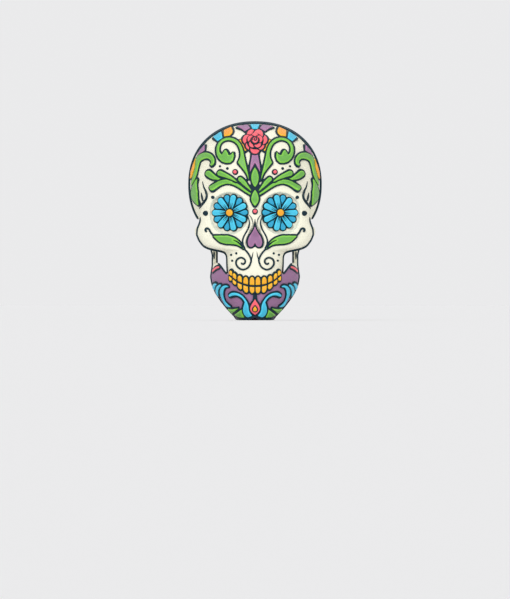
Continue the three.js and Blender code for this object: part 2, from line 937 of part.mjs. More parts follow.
// The dark lines that run on from a cheek leaf: a tail over the cheek and a spiral on the lip
function cheekLineOutline(side) {
  const halfStroke = () => strokeWidth / 2;
  const centre = place(lipSpiralCentreShare);
  const curl = spiral(centre, lipSpiralRadius, strokeWidth, lipSpiralTurnShare);
  const route = turned([...lipLinkShares.map(place), ...curl], side);
  const tail = band(along(cheekTailShares, side), halfStroke);
  return [tail, band(route, halfStroke, 0, 3 * bandSteps)];
}

const waveOutline = (side) => (rim) => [
  band(alongJaw(waveShares, side), leafWidth(waveHalf, stemHalf), rim),
  ...commaShares.map((s) => band(alongJaw(s, side), widening(stemHalf, commaHalf), rim)),
];
const curlOutline = (side) => (rim) => [
  band(alongJaw(curlShares, side), widening(curlFootHalf, stemHalf), rim),
];
const chinLeafOutline = (side) => (rim) => [
  band(alongJaw(chinLeafShares, side), leafWidth(chinLeafHalf, tipHalf), rim),
];

function dropOutline(rim) {
  const half = dropWidth / 2 + rim;
  const bottom = dropShares[0] * skullHeight - rim;
  const top = dropShares[1] * skullHeight + rim * 2;
  const round = THREE.MathUtils.lerp(bottom, top, dropRoundShare);
  const shape = new THREE.Shape();
  shape.moveTo(0, top);
  shape.bezierCurveTo(0, round + half, half, round + half / 2, half, round);
  shape.bezierCurveTo(half, bottom, -half, bottom, -half, round);
  shape.bezierCurveTo(-half, round + half / 2, 0, round + half, 0, top);
  return [shape];
}

const crownPoint = (angle, share) => {
  const [across, up] = [Math.sin(angle), Math.cos(angle)];
  const sum = Math.abs(across) ** craniumFullness + Math.abs(up) ** craniumFullness;
  const size = sum ** (1 / craniumFullness);
  const x = (across / size) * share * halfWidth;
  return new THREE.Vector2(x, craniumCentre + (up / size) * share * crownRise);
};

const crownTileOutline = (tile) => (rim) => {
  const grow = rim / halfWidth;
  const inner = crownShares[0] - grow;
  const outer = crownShares[1] + grow;
  const gap = tileGapShare - grow / inner;
  const from = THREE.MathUtils.degToRad(crownTiles[tile][0]) + gap;
  const to = THREE.MathUtils.degToRad(crownTiles[tile][1]) - gap;
  const outline = [];
  for (let i = 0; i <= capSteps; i += 1) {
    outline.push(crownPoint(THREE.MathUtils.lerp(from, to, i / capSteps), outer));
  }
  for (let i = capSteps; i >= 0; i -= 1) {
    outline.push(crownPoint(THREE.MathUtils.lerp(from, to, i / capSteps), inner));
  }
  return [new THREE.Shape(outline)];
};

// A dark line along the outer ends of the tiles, which holds their backing together
function crownLine() {
  const points = [];
  for (let i = -capSteps; i <= capSteps; i += 1) {
    const angle = THREE.MathUtils.degToRad((i / capSteps) * crownLineReach);
    points.push(crownPoint(angle, crownLineShare));
  }
  return band(points, () => strokeWidth / 2, 0, 4 * bandSteps);
}

const bandOutline = (side) => [new THREE.Shape(alongJaw(bandCornerShares, side))];

// Prisms of a list of outlines, from far in front to a depth
const prismsOf = (shapes, back) => joined(shapes.map((shape) => prism(shape, farFront, back)));

// Cut-outs take their place in turn: each later one keeps a line's width off the earlier ones
function cutOuts(entries, layer) {
  let taken = prismsOf(entries[0][2](lineWidth));
  const pieces = entries.map(([name, colour, outline], i) => {
    const whole = prismsOf(outline(0));
    const free = i === 0 ? whole : whole.subtract(taken);
    taken = taken.add(prismsOf(outline(lineWidth)));
    return [name, colour, mainBody(free.intersect(layer))];
  });
  return pieces;
}

const flowerOutline = (turn, rim) =>
  disc(new THREE.Vector2(0, 0), flowerRadius + rim, petalCount, petalNeckShare, turn);

// The assembly
const skull = new THREE.Group();

function fit(parent, name, solid, colour, roughness = mattRoughness, metalness = 0) {
  const material = new THREE.MeshStandardMaterial({ color: colour, roughness, metalness });
  const mesh = new THREE.Mesh(geometryOf(solid), material);
  mesh.name = name;
  parent.add(mesh);
}

const wholeCranium = cranium();
fit(skull, "face_shell", mainBody(wholeCranium.intersect(beyond(-1, -gluedGap / 2))), cream);
fit(skull, "back_shell", mainBody(wholeCranium.intersect(beyond(1, gluedGap / 2))), cream);
fit(skull, "seam_bead", seamBand(0), ink);
fit(skull, "jaw", jaw(), purple);
sides.forEach(([word, side]) => {
  fit(skull, word + "_hinge_pin", hingePin(side), steel, glossRoughness, 1);
  fit(skull, word + "_hinge_washer", hingeWasher(side), steel, glossRoughness, 1);
});

const upperJawLayer = (from, to) => faceForm(to).subtract(faceForm(from));
fit(skull, "upper_teeth", toothRow(1, upperJawLayer), gold, glossRoughness);
fit(skull, "lower_teeth", toothRow(-1, jawLayer), gold, glossRoughness);

// Eye flowers, each in the frame of its socket's floor
sides.forEach(([word, side]) => {
  const socket = new THREE.Group();
  socket.position.set((side * socketSpacing) / 2, -socketFloorReach, socketHeightShare * skullHeight);
  socket.rotation.z = side * socketTilt;
  skull.add(socket);
  let height = 0;
  const lay = (shapes, thickness) => {
    const bottom = height + gluedGap;
    height = bottom + thickness;
    return joined(shapes.map((shape) => prism(shape, -height, -bottom)));
  };
  const turn = side < 0 ? 0 : 0.5;
  const rims = [flowerOutline(0, rimWidth / 2), flowerOutline(0.5, rimWidth / 2)];
  const button = disc(new THREE.Vector2(0, 0), buttonRadius);
  fit(socket, word + "_eye_backing", lay(rims, backingThickness), ink);
  fit(socket, word + "_eye_outer_petals", lay([flowerOutline(0.5 - turn, 0)], petalThickness), deepBlue);
  fit(socket, word + "_eye_inner_petals", lay([flowerOutline(turn, 0)], petalThickness), lightBlue);
  fit(socket, word + "_eye_button", lay([button], buttonRise), orange, glossRoughness);
});

// Nose: a heart in the recess
const noseBacking = headLayer(gluedGap - noseRecess, backingTop - noseRecess);
fit(skull, "nose_backing", facePrism(noseShape(rimWidth)).intersect(noseBacking), ink);
const noseFill = headLayer(fillBottom - noseRecess, fillTop - noseRecess);
fit(skull, "nose_heart", facePrism(noseShape(0)).intersect(noseFill), purple);

// Head cut-outs over their backings
const headBacking = headLayer(gluedGap, backingTop);
const headFill = headLayer(fillBottom, fillTop);
const forehead = [
  ["rose_outer", red, roseOutline],
  ["centre_leaf", green, centreLeafOutline],
  ["bud", purple, budOutline],
  ...sides.map(([word, side]) => [word + "_fan", green, fanOutline(side)]),
  ...sides.map(([word, side]) => [word + "_scroll", green, scrollOutline(side)]),
];
const crown = [
  ...sides.map(([word, side]) => [word + "_temple_vine", green, vineOutline(side)]),
  ...crownTiles.map(([, , colour], i) => ["crown_tile_" + (i + 1), colour, crownTileOutline(i)]),
];
cutOuts([...forehead, ...crown], headFill).forEach(([name, colour, solid]) => {
  fit(skull, name, solid, colour);
});
const rimmed = (entries, rim) => prismsOf(entries.flatMap(([, , outline]) => outline(rim)));
const foreheadRim = rimmed(forehead, rimWidth);
fit(skull, "forehead_backing", mainBody(foreheadRim.intersect(headBacking)), ink);
const crownDark = rimmed(crown, rimWidth).add(prism(crownLine()));
const crownRim = crownDark.subtract(rimmed(forehead, rimWidth + gluedGap));
fit(skull, "crown_backing", mainBody(crownRim.intersect(headBacking)), ink);

// Rose: two smaller rosettes on the outer one
const roseCentre = place(roseShare);
const roseStep = fillThickness + gluedGap;
[
  ["rose_middle", roseMiddleShare, roseMiddleLobes],
  ["rose_heart", roseHeartShare, roseHeartLobes],
].forEach(([name, share, lobes], i) => {
  const layer = headLayer(fillBottom + (i + 1) * roseStep, fillTop + (i + 1) * roseStep);
  const shape = disc(roseCentre, share * roseRadius, lobes, petalDipShare);
  fit(skull, name, prism(shape).intersect(layer), red);
});

// Beads on the brow and forehead
const beadLayer = headLayer(gluedGap, gluedGap + beadRadius);
fit(skull, "brow_bead", prism(disc(place(browBeadShare), beadRadius)).intersect(beadLayer), red);
sides.forEach(([word, side]) => {
  const [centre] = along([foreheadBeadShare], side);
  fit(skull, word + "_forehead_bead", prism(disc(centre, beadRadius)).intersect(beadLayer), red);
});

// Cheek leaves with their tails
sides.forEach(([word, side]) => {
  const leaf = cheekLeafOutline(side);
  const dark = prismsOf([...leaf(rimWidth), ...cheekLineOutline(side)], faceMiddle);
  fit(skull, word + "_cheek_backing", mainBody(dark.intersect(headBacking)), ink);
  fit(skull, word + "_cheek_leaf", prismsOf(leaf(0), faceMiddle).intersect(headFill), green);
});

// Jaw cut-outs over one backing, which a stem under the chin holds together
const jawEntries = [
  ["chin_drop", red, dropOutline],
  ...sides.map(([word, side]) => [word + "_jaw_curl", lightBlue, curlOutline(side)]),
  ...sides.map(([word, side]) => [word + "_jaw_wave", lightBlue, waveOutline(side)]),
  ...sides.map(([word, side]) => [word + "_chin_leaf", green, chinLeafOutline(side)]),
];
const jawPastes = jawKept.subtract(beyond(1, -jawPasteReach));
const jawFill = jawLayer(fillBottom, fillTop).intersect(jawPastes);
const jawBackingLayer = jawLayer(gluedGap, backingTop).intersect(jawPastes);
cutOuts(jawEntries, jawFill).forEach(([name, colour, solid]) => fit(skull, name, solid, colour));
const chinStem = prism(band(alongJaw(chinStemShares, 1), () => strokeWidth / 2));
const jawRim = rimmed(jawEntries, rimWidth).add(chinStem);
fit(skull, "jaw_backing", mainBody(jawRim.intersect(jawBackingLayer)), ink);
const chinBeadLayer = jawLayer(fillTop + gluedGap, fillTop + gluedGap + fillThickness);
const chinBeadPlace = place([0, THREE.MathUtils.lerp(...dropShares, dropRoundShare)]);
fit(skull, "chin_bead", prism(disc(chinBeadPlace, beadRadius)).intersect(chinBeadLayer), orange);
sides.forEach(([word, side]) => {
  const solid = prismsOf(bandOutline(side)).intersect(jawBackingLayer);
  fit(skull, word + "_jaw_band", mainBody(solid), red);
});

// The origin lies under the middle of the skull, on the table
const bounds = new THREE.Box3().setFromObject(skull);
skull.position.y = -(bounds.min.y + bounds.max.y) / 2;

export default skull;
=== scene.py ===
import json
import math

import bpy
import numpy as np
from mathutils import Matrix, Vector


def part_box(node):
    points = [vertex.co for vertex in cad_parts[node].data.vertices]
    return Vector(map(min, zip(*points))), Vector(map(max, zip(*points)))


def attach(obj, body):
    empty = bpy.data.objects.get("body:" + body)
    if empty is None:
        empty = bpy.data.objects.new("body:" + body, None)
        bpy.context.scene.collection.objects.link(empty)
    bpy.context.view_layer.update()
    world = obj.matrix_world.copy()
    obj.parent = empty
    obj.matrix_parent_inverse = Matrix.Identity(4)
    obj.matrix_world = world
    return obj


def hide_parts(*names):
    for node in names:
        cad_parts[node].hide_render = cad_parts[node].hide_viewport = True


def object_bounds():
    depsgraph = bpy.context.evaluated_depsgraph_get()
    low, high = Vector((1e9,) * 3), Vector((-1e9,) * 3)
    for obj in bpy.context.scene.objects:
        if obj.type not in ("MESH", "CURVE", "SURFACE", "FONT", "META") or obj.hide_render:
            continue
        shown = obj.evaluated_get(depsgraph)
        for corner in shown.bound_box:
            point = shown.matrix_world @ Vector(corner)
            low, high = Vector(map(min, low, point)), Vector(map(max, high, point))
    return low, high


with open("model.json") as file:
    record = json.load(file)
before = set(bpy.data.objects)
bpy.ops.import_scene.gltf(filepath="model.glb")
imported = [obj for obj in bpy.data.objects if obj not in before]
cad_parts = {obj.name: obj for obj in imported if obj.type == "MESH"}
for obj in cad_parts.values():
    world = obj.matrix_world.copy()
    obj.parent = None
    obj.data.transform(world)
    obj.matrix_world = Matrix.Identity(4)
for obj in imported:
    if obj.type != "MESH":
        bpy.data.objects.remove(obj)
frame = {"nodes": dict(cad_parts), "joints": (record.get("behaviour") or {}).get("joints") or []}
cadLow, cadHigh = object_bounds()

# lengths are millimetres, unless a note says metres: X runs to the right of the front view, Z up,
# and the face looks along -Y
mm = 0.001
hingeY = frame["joints"][0]["pos_m"][1] / mm
drawnHinge = -8.0  # where the hinge lies along Y in the values below
drawnShift = hingeY - drawnHinge
skullHeight = (cadHigh.z - cadLow.z) / mm
sides = [("left", -1), ("right", 1)]
print("stage: frame loaded, shift", round(drawnShift, 3), "height", round(skullHeight, 2))


# small helpers for objects
def deselect():
    if bpy.context.mode != "OBJECT":
        bpy.ops.object.mode_set(mode="OBJECT")
    bpy.ops.object.select_all(action="DESELECT")


def pick(*objects):
    deselect()
    for item in objects:
        item.select_set(True)
    bpy.context.view_layer.objects.active = objects[-1]


def joinAll(objects, name):
    pick(*objects)
    if len(objects) > 1:
        bpy.ops.object.join()
    whole = bpy.context.view_layer.objects.active
    whole.name = name
    whole.data.name = name
    return whole


def applyModifiers(item):
    pick(item)
    for modifier in list(item.modifiers):
        bpy.ops.object.modifier_apply(modifier=modifier.name)


def remesh(item, voxel):
    modifier = item.modifiers.new("remesh", "REMESH")
    modifier.mode = "VOXEL"
    modifier.voxel_size = voxel * mm
    applyModifiers(item)


def relax(piece, rounds, factor=0.5):
    modifier = piece.modifiers.new("relax", "SMOOTH")
    modifier.factor = factor
    modifier.iterations = rounds
    applyModifiers(piece)


def pointsOf(item):
    flat = np.empty(len(item.data.vertices) * 3, np.float32)
    item.data.vertices.foreach_get("co", flat)
    return flat.reshape(-1, 3).astype(float) / mm


def normalsOf(item):
    flat = np.empty(len(item.data.vertices) * 3, np.float32)
    item.data.vertices.foreach_get("normal", flat)
    return flat.reshape(-1, 3).astype(float)


def setPoints(item, points):
    item.data.vertices.foreach_set("co", (points * mm).astype(np.float32).ravel())
    item.data.update()


def dress(item, finish, body, nodes=(), angle=None):
    item.data.materials.clear()
    item.data.materials.append(finishes[finish])
    pick(item)
    bpy.ops.object.shade_smooth()
    if angle:
        bpy.ops.object.shade_smooth_by_angle(angle=math.radians(angle))
    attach(item, body)
    if nodes:
        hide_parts(*nodes)
    return item


# materials
def linear(red, green, blue):
    def one(value):
        value = value / 255
        return value / 12.92 if value <= 0.04045 else ((value + 0.055) / 1.055) ** 2.4

    return (one(red), one(green), one(blue), 1.0)


def newGroup(name, inputs, outputs):
    group = bpy.data.node_groups.new(name, "ShaderNodeTree")
    for label, kind, value in inputs:
        socket = group.interface.new_socket(label, in_out="INPUT", socket_type=kind)
        socket.default_value = value
    for label, kind in outputs:
        group.interface.new_socket(label, in_out="OUTPUT", socket_type=kind)
    start = group.nodes.new("NodeGroupInput")
    end = group.nodes.new("NodeGroupOutput")
    return group, start, end


def addNode(tree, kind, **settings):
    node = tree.nodes.new(kind)
    for key, value in settings.items():
        setattr(node, key, value)
    return node


def addRange(tree, source, fromSpan=(0.0, 1.0), toSpan=(0.0, 1.0)):
    # takes one span of values to another
    span = addNode(tree, "ShaderNodeMapRange")
    for label, value in zip(("From Min", "From Max", "To Min", "To Max"), (*fromSpan, *toSpan)):
        span.inputs[label].default_value = value
    tree.links.new(source, span.inputs["Value"])
    return span


sugar = {
    "grainDetail": 3.0,
    "swellScale": 55.0,
    "swellDetail": 2.0,
    "pits": -0.6,  # how deep the crystals' borders are
    "heights": (0.1, 0.8),
    "paintedShades": (0.94, 1.0),  # painted shade, from the deepest of these heights to the highest, so that the hollows come out darker
}


def makeSugarGrain():
    # fine crystals over a slow hand-moulded swell: Height is their bump, Shade is painted shade that is
    # darker in their hollows, and Glint sets each crystal's roughness
    group, start, end = newGroup(
        "sugar grain",
        [("Crystal Size", "NodeSocketFloat", 0.7), ("Swell", "NodeSocketFloat", 0.4)],
        [("Height", "NodeSocketFloat"), ("Shade", "NodeSocketFloat"), ("Glint", "NodeSocketFloat")],
    )
    place = addNode(group, "ShaderNodeTexCoord")
    scale = addNode(group, "ShaderNodeMath", operation="DIVIDE")
    scale.inputs[0].default_value = 1 / mm
    group.links.new(start.outputs["Crystal Size"], scale.inputs[1])
    crystals = addNode(group, "ShaderNodeTexVoronoi", feature="F1")
    grain = addNode(group, "ShaderNodeTexNoise")
    grain.inputs["Detail"].default_value = sugar["grainDetail"]
    slow = addNode(group, "ShaderNodeTexNoise")
    slow.inputs["Scale"].default_value = sugar["swellScale"]
    slow.inputs["Detail"].default_value = sugar["swellDetail"]
    for texture in (crystals, grain, slow):
        group.links.new(place.outputs["Object"], texture.inputs["Vector"])
    for texture in (crystals, grain):
        group.links.new(scale.outputs[0], texture.inputs["Scale"])
    fine = addNode(group, "ShaderNodeMath", operation="MULTIPLY_ADD")
    fine.inputs[1].default_value = sugar["pits"]
    group.links.new(crystals.outputs["Distance"], fine.inputs[0])
    group.links.new(grain.outputs["Fac"], fine.inputs[2])
    swell = addNode(group, "ShaderNodeMath", operation="MULTIPLY")
    group.links.new(slow.outputs["Fac"], swell.inputs[0])
    group.links.new(start.outputs["Swell"], swell.inputs[1])
    total = addNode(group, "ShaderNodeMath", operation="ADD")
    group.links.new(fine.outputs[0], total.inputs[0])
    group.links.new(swell.outputs[0], total.inputs[1])
    shade = addRange(group, total.outputs[0], sugar["heights"], sugar["paintedShades"])
    glint = addNode(group, "ShaderNodeSeparateColor")
    group.links.new(crystals.outputs["Color"], glint.inputs[0])
    group.links.new(total.outputs[0], end.inputs["Height"])
    group.links.new(shade.outputs["Result"], end.inputs["Shade"])
    group.links.new(glint.outputs[0], end.inputs["Glint"])
    return group


# painted shading of the icing: where the paler rim's colour starts to fade, and over what length past the
# rim's width
rimShadingLook = {"wobbleScale": 240.0, "wobble": 0.9, "fadeStart": 0.9, "fadeSpan": 1.1}


def makePaintedRimShading():
    # painted shading: a paler rim that fades into a deeper middle, read from the piece's own edge attribute
    # in millimetres
    group, start, end = newGroup(
        "painted rim shading",
        [
            ("Middle", "NodeSocketColor", (0.5, 0.5, 0.5, 1)),
            ("Rim", "NodeSocketColor", (0.8, 0.8, 0.8, 1)),
            ("Rim Width", "NodeSocketFloat", 1.4),
        ],
        [("Color", "NodeSocketColor")],
    )
    edge = addNode(group, "ShaderNodeAttribute", attribute_name="edge")
    place = addNode(group, "ShaderNodeTexCoord")
    wobble = addNode(group, "ShaderNodeTexNoise")
    wobble.inputs["Scale"].default_value = rimShadingLook["wobbleScale"]
    group.links.new(place.outputs["Object"], wobble.inputs["Vector"])
    uneven = addNode(group, "ShaderNodeMath", operation="MULTIPLY_ADD")
    uneven.inputs[1].default_value = rimShadingLook["wobble"]
    group.links.new(wobble.outputs["Fac"], uneven.inputs[0])
    group.links.new(edge.outputs["Fac"], uneven.inputs[2])
    span = addRange(group, uneven.outputs[0], (rimShadingLook["fadeStart"], 1.0))
    reach = addNode(group, "ShaderNodeMath", operation="ADD")
    reach.inputs[1].default_value = rimShadingLook["fadeSpan"]
    group.links.new(start.outputs["Rim Width"], reach.inputs[0])
    group.links.new(reach.outputs[0], span.inputs["From Max"])
    mix = addNode(group, "ShaderNodeMix", data_type="RGBA")
    group.links.new(span.outputs["Result"], mix.inputs[0])
    group.links.new(start.outputs["Rim"], mix.inputs[6])
    group.links.new(start.outputs["Middle"], mix.inputs[7])
    group.links.new(mix.outputs[2], end.inputs["Color"])
    return group


sugarGrain = makeSugarGrain()
paintedRimShading = makePaintedRimShading()


def newMaterial(name, coat=0.0, metallic=0.0, coatRoughness=0.25):
    material = bpy.data.materials.new(name)
    material.use_nodes = True
    shader = material.node_tree.nodes["Principled BSDF"]
    shader.inputs["Metallic"].default_value = metallic
    shader.inputs["Coat Weight"].default_value = coat
    shader.inputs["Coat Roughness"].default_value = coatRoughness
    return material, material.node_tree, shader


# crystal size, swell and bump depth of the castings and of the icing
castGrain = {"size": 0.7, "swell": 0.5, "depth": 0.5, "strength": 0.6}
icingGrain = {"size": 0.45, "swell": 0.8, "depth": 0.18, "strength": 0.6}


def addGrain(tree, shader, form, smoothest, roughest):
    # crystals give the bump, and each facet its own roughness
    grain = addNode(tree, "ShaderNodeGroup", node_tree=sugarGrain)
    grain.inputs["Crystal Size"].default_value = form["size"]
    grain.inputs["Swell"].default_value = form["swell"]
    bump = addNode(tree, "ShaderNodeBump")
    bump.inputs["Strength"].default_value = form["strength"]
    bump.inputs["Distance"].default_value = form["depth"] * mm
    tree.links.new(grain.outputs["Height"], bump.inputs["Height"])
    tree.links.new(bump.outputs["Normal"], shader.inputs["Normal"])
    span = addRange(tree, grain.outputs["Glint"], toSpan=(smoothest, roughest))
    tree.links.new(span.outputs["Result"], shader.inputs["Roughness"])
    return grain


def shadeColour(tree, shader, colour, grain):
    # painted shade: the colour is darkened a little in the crystals' hollows
    mix = addNode(tree, "ShaderNodeMix", data_type="RGBA", blend_type="MULTIPLY")
    mix.inputs[0].default_value = 1.0
    if isinstance(colour, tuple):
        mix.inputs[6].default_value = colour
    else:
        tree.links.new(colour, mix.inputs[6])
    tree.links.new(grain.outputs["Shade"], mix.inputs[7])
    tree.links.new(mix.outputs[2], shader.inputs["Base Color"])


def castMaterial(name, colour):
    material, tree, shader = newMaterial(name)
    grain = addGrain(tree, shader, castGrain, smoothest=0.5, roughest=0.72)
    shadeColour(tree, shader, colour, grain)
    return material


def jawMaterial(name, purple, cream):
    # cream branches above the red bands, purple below: the border slopes with the bands
    border = {"height": 76.8, "slope": 0.42, "softness": 0.5}
    material, tree, shader = newMaterial(name)
    grain = addGrain(tree, shader, castGrain, smoothest=0.48, roughest=0.7)
    place = addNode(tree, "ShaderNodeTexCoord")
    split = addNode(tree, "ShaderNodeSeparateXYZ")
    tree.links.new(place.outputs["Object"], split.inputs[0])
    away = addNode(tree, "ShaderNodeMath", operation="ABSOLUTE")
    tree.links.new(split.outputs["X"], away.inputs[0])
    level = addNode(tree, "ShaderNodeMath", operation="MULTIPLY_ADD")
    level.inputs[1].default_value = border["slope"]
    tree.links.new(away.outputs[0], level.inputs[0])
    tree.links.new(split.outputs["Z"], level.inputs[2])
    low = (border["height"] - border["softness"]) * mm
    high = (border["height"] + border["softness"]) * mm
    span = addRange(tree, level.outputs[0], (low, high))
    mix = addNode(tree, "ShaderNodeMix", data_type="RGBA")
    mix.inputs[6].default_value = purple
    mix.inputs[7].default_value = cream
    tree.links.new(span.outputs["Result"], mix.inputs[0])
    shadeColour(tree, shader, mix.outputs[2], grain)
    return material


# middle and rim are the two tones of painted shading: a paler rim that fades into the middle
def icingMaterial(name, middle, rim, rimWidth=1.2, smoothest=0.34, roughest=0.5, coat=0.12, sheen=0.35):
    material, tree, shader = newMaterial(name, coat)
    shader.inputs["Specular IOR Level"].default_value = sheen
    grain = addGrain(tree, shader, icingGrain, smoothest, roughest)
    paint = addNode(tree, "ShaderNodeGroup", node_tree=paintedRimShading)
    paint.inputs["Middle"].default_value = middle
    paint.inputs["Rim"].default_value = rim
    paint.inputs["Rim Width"].default_value = rimWidth
    shadeColour(tree, shader, paint.outputs["Color"], grain)
    return material


def steelMaterial(name):
    # brushed along X, the way of the pins
    steel = {"colour": (0.62, 0.63, 0.65, 1), "brushing": (60, 1800, 1800), "roughness": (0.24, 0.42)}
    material, tree, shader = newMaterial(name, metallic=1.0)
    shader.inputs["Base Color"].default_value = steel["colour"]
    place = addNode(tree, "ShaderNodeTexCoord")
    stretch = addNode(tree, "ShaderNodeMapping")
    stretch.inputs["Scale"].default_value = steel["brushing"]
    brushed = addNode(tree, "ShaderNodeTexNoise")
    tree.links.new(place.outputs["Object"], stretch.inputs["Vector"])
    tree.links.new(stretch.outputs["Vector"], brushed.inputs["Vector"])
    span = addRange(tree, brushed.outputs["Fac"], toSpan=steel["roughness"])
    tree.links.new(span.outputs["Result"], shader.inputs["Roughness"])
    return material


creamColour = linear(253, 251, 229)
purpleColour = linear(158, 114, 153)
inkLook = {"rimWidth": 0.6, "smoothest": 0.45, "roughest": 0.6, "coat": 0.0, "sheen": 0.18}
goldLook = {"rimWidth": 1.0, "smoothest": 0.24, "roughest": 0.36, "coat": 0.4}
# each icing's second colour is its paler rim, painted shading
finishes = {
    "cream": castMaterial("cast cream", creamColour),
    "jaw": jawMaterial("cast jaw", purpleColour, creamColour),
    "ink": icingMaterial("icing ink", linear(10, 42, 54), linear(12, 46, 58), **inkLook),
    "green": icingMaterial("icing green", linear(108, 178, 76), linear(136, 212, 72)),
    "purple": icingMaterial("icing purple", linear(156, 112, 152), linear(182, 124, 170)),
    "lightBlue": icingMaterial("icing light blue", linear(66, 194, 228), linear(78, 216, 250), rimWidth=1.0),
    "deepBlue": icingMaterial("icing deep blue", linear(38, 164, 206), linear(44, 182, 222), rimWidth=0.9),
    "red": icingMaterial("icing red", linear(255, 98, 112), linear(255, 112, 124), rimWidth=0.9),
    "orange": icingMaterial("icing orange", linear(255, 166, 38), linear(255, 192, 26), rimWidth=1.0),
    "gold": icingMaterial("tooth gold", linear(255, 172, 34), linear(255, 198, 20), **goldLook),
    "steel": steelMaterial("pin steel"),
}
print("stage: materials")

# camera: it looks straight at the face from far away, through a long lens, all in metres
camera = {"distance": 16.0, "frameHeight": 0.6622, "centreHeight": 0.0227, "farthest": 90}
cameraData = bpy.data.cameras.new("camera")
cameraData.lens = cameraData.sensor_width * camera["distance"] / camera["frameHeight"]
cameraData.clip_end = camera["farthest"]
cameraObject = bpy.data.objects.new("camera", cameraData)
bpy.context.scene.collection.objects.link(cameraObject)
cameraObject.location = (0, -camera["distance"], camera["centreHeight"])
cameraObject.rotation_euler = (math.radians(90), 0, 0)
bpy.context.scene.camera = cameraObject
bpy.context.scene.view_settings.view_transform = "Standard"

# large soft lamps far away light the floor and the skull evenly
lamps = [
    # name, where it comes from, strength, softness in degrees
    ("key", (-0.5, -1.0, 0.75), 1.45, 35),
    ("fill", (0.8, -1.0, 0.35), 0.75, 50),
    ("top", (0.1, 0.35, 1.0), 0.55, 60),
]
worldStrength = 0.42
floorColour = linear(245, 245, 246)
floorSheet = {"size": 80, "top": -0.0002, "roughness": 0.95}  # in metres
for lampName, place, strength, softness in lamps:
    lampData = bpy.data.lights.new(lampName, "SUN")
    lampData.energy = strength
    lampData.angle = math.radians(softness)
    lamp = bpy.data.objects.new(lampName, lampData)
    bpy.context.scene.collection.objects.link(lamp)
    lamp.rotation_euler = (-Vector(place)).to_track_quat("-Z", "Y").to_euler()


def floorBrightness():
    # what the lamps and the world give a level floor, so that the backdrop has the same tone
    total = worldStrength
    for _, place, strength, _ in lamps:
        total += strength * Vector(place).normalized().z / math.pi
    return total


def makeWorld():
    world = bpy.data.worlds.new("studio")
    bpy.context.scene.world = world
    world.use_nodes = True
    tree = world.node_tree
    tree.nodes.clear()
    seen = addNode(tree, "ShaderNodeBackground")
    seen.inputs["Color"].default_value = floorColour
    seen.inputs["Strength"].default_value = floorBrightness()
    light = addNode(tree, "ShaderNodeBackground")
    light.inputs["Color"].default_value = (1, 1, 1, 1)
    light.inputs["Strength"].default_value = worldStrength
    path = addNode(tree, "ShaderNodeLightPath")
    direct = addNode(tree, "ShaderNodeMath", operation="MAXIMUM")
    mirrored = addNode(tree, "ShaderNodeMath", operation="MAXIMUM")
    tree.links.new(path.outputs["Is Camera Ray"], direct.inputs[0])
    tree.links.new(path.outputs["Is Glossy Ray"], direct.inputs[1])
    tree.links.new(direct.outputs[0], mirrored.inputs[0])
    tree.links.new(path.outputs["Is Transmission Ray"], mirrored.inputs[1])
    mix = addNode(tree, "ShaderNodeMixShader")
    output = addNode(tree, "ShaderNodeOutputWorld")
    tree.links.new(mirrored.outputs[0], mix.inputs[0])
    tree.links.new(light.outputs[0], mix.inputs[1])
    tree.links.new(seen.outputs[0], mix.inputs[2])
    tree.links.new(mix.outputs[0], output.inputs[0])


def makeFloor():
    deselect()
    bpy.ops.mesh.primitive_plane_add(size=floorSheet["size"], location=(0, 0, floorSheet["top"]))
    floor = bpy.context.object
    floor.name = "floor"
    material, _, shader = newMaterial("floor paper")
    shader.inputs["Base Color"].default_value = floorColour
    shader.inputs["Roughness"].default_value = floorSheet["roughness"]
    shader.inputs["Specular IOR Level"].default_value = 0.0
    floor.data.materials.append(material)


makeWorld()
makeFloor()
print("stage: camera and light")


# the smooth forms under the castings
# each row is a share of the skull's height, of a half-width and of the reach in front
def smoothRows(rows, halfScale, reachScale):
    spacing, softRows = 0.25, 11
    rows = np.array(rows)
    heights = np.arange(rows[0, 0] * skullHeight, rows[-1, 0] * skullHeight, spacing)
    window = np.hanning(2 * softRows + 1)
    window = window / window.sum()

    def soften(values):
        padded = np.concatenate([np.full(softRows, values[0]), values, np.full(softRows, values[-1])])
        return np.convolve(padded, window, "valid")

    half = soften(np.interp(heights, rows[:, 0] * skullHeight, rows[:, 1] * halfScale))
    reach = soften(np.interp(heights, rows[:, 0] * skullHeight, rows[:, 2] * reachScale))
    return heights, half, reach


craniumForm = {
    "half": 72.8,
    "front": 84,
    "back": 88,
    "rise": 69,
    "centre": 149.8,
    "fullness": 2.2,
    "taper": 0.08,  # how much narrower the front is than the middle
}
faceForm = {
    "mouthHalf": 31.5,
    "cheekHalf": 65,
    "reach": 91,
    "back": -34,
    "fullness": 2.3,
    "fade": 0.05,  # above its top the face's form gives way to the cranium's
    "sideTop": 78,  # up to here a place beside the face counts as its side
}
bridgeForm = {"half": 7.5, "deep": 7, "rise": 17, "y": -87, "z": 110}
mouthRows = [
    [0.155, 0.86, 0.972],
    [0.182, 0.89, 0.989],
    [0.227, 0.984, 1],
    [0.273, 1, 1],
    [0.318, 1.01, 0.989],
    [0.336, 1.06, 0.983],
    [0.347, 1.2, 0.978],
]
cheekRows = [
    [0.356, 0.785, 0.978],
    [0.372, 0.892, 0.978],
    [0.4, 0.962, 0.978],
    [0.428, 1, 0.975],
    [0.455, 0.992, 0.967],
    [0.491, 0.946, 0.956],
    [0.536, 0.923, 0.944],
    [0.573, 0.908, 0.956],
    [0.609, 0.877, 0.967],
    [0.65, 0.769, 0.933],
    [0.691, 0.585, 0.878],
]
faceRows = [[up, half * faceForm["mouthHalf"], reach] for up, half, reach in mouthRows]
faceRows += [[up, half * faceForm["cheekHalf"], reach] for up, half, reach in cheekRows]
faceTable = smoothRows(faceRows, 1, faceForm["reach"])
jawForm = {"half": 50.5, "bend": -12, "fullness": 2.5}
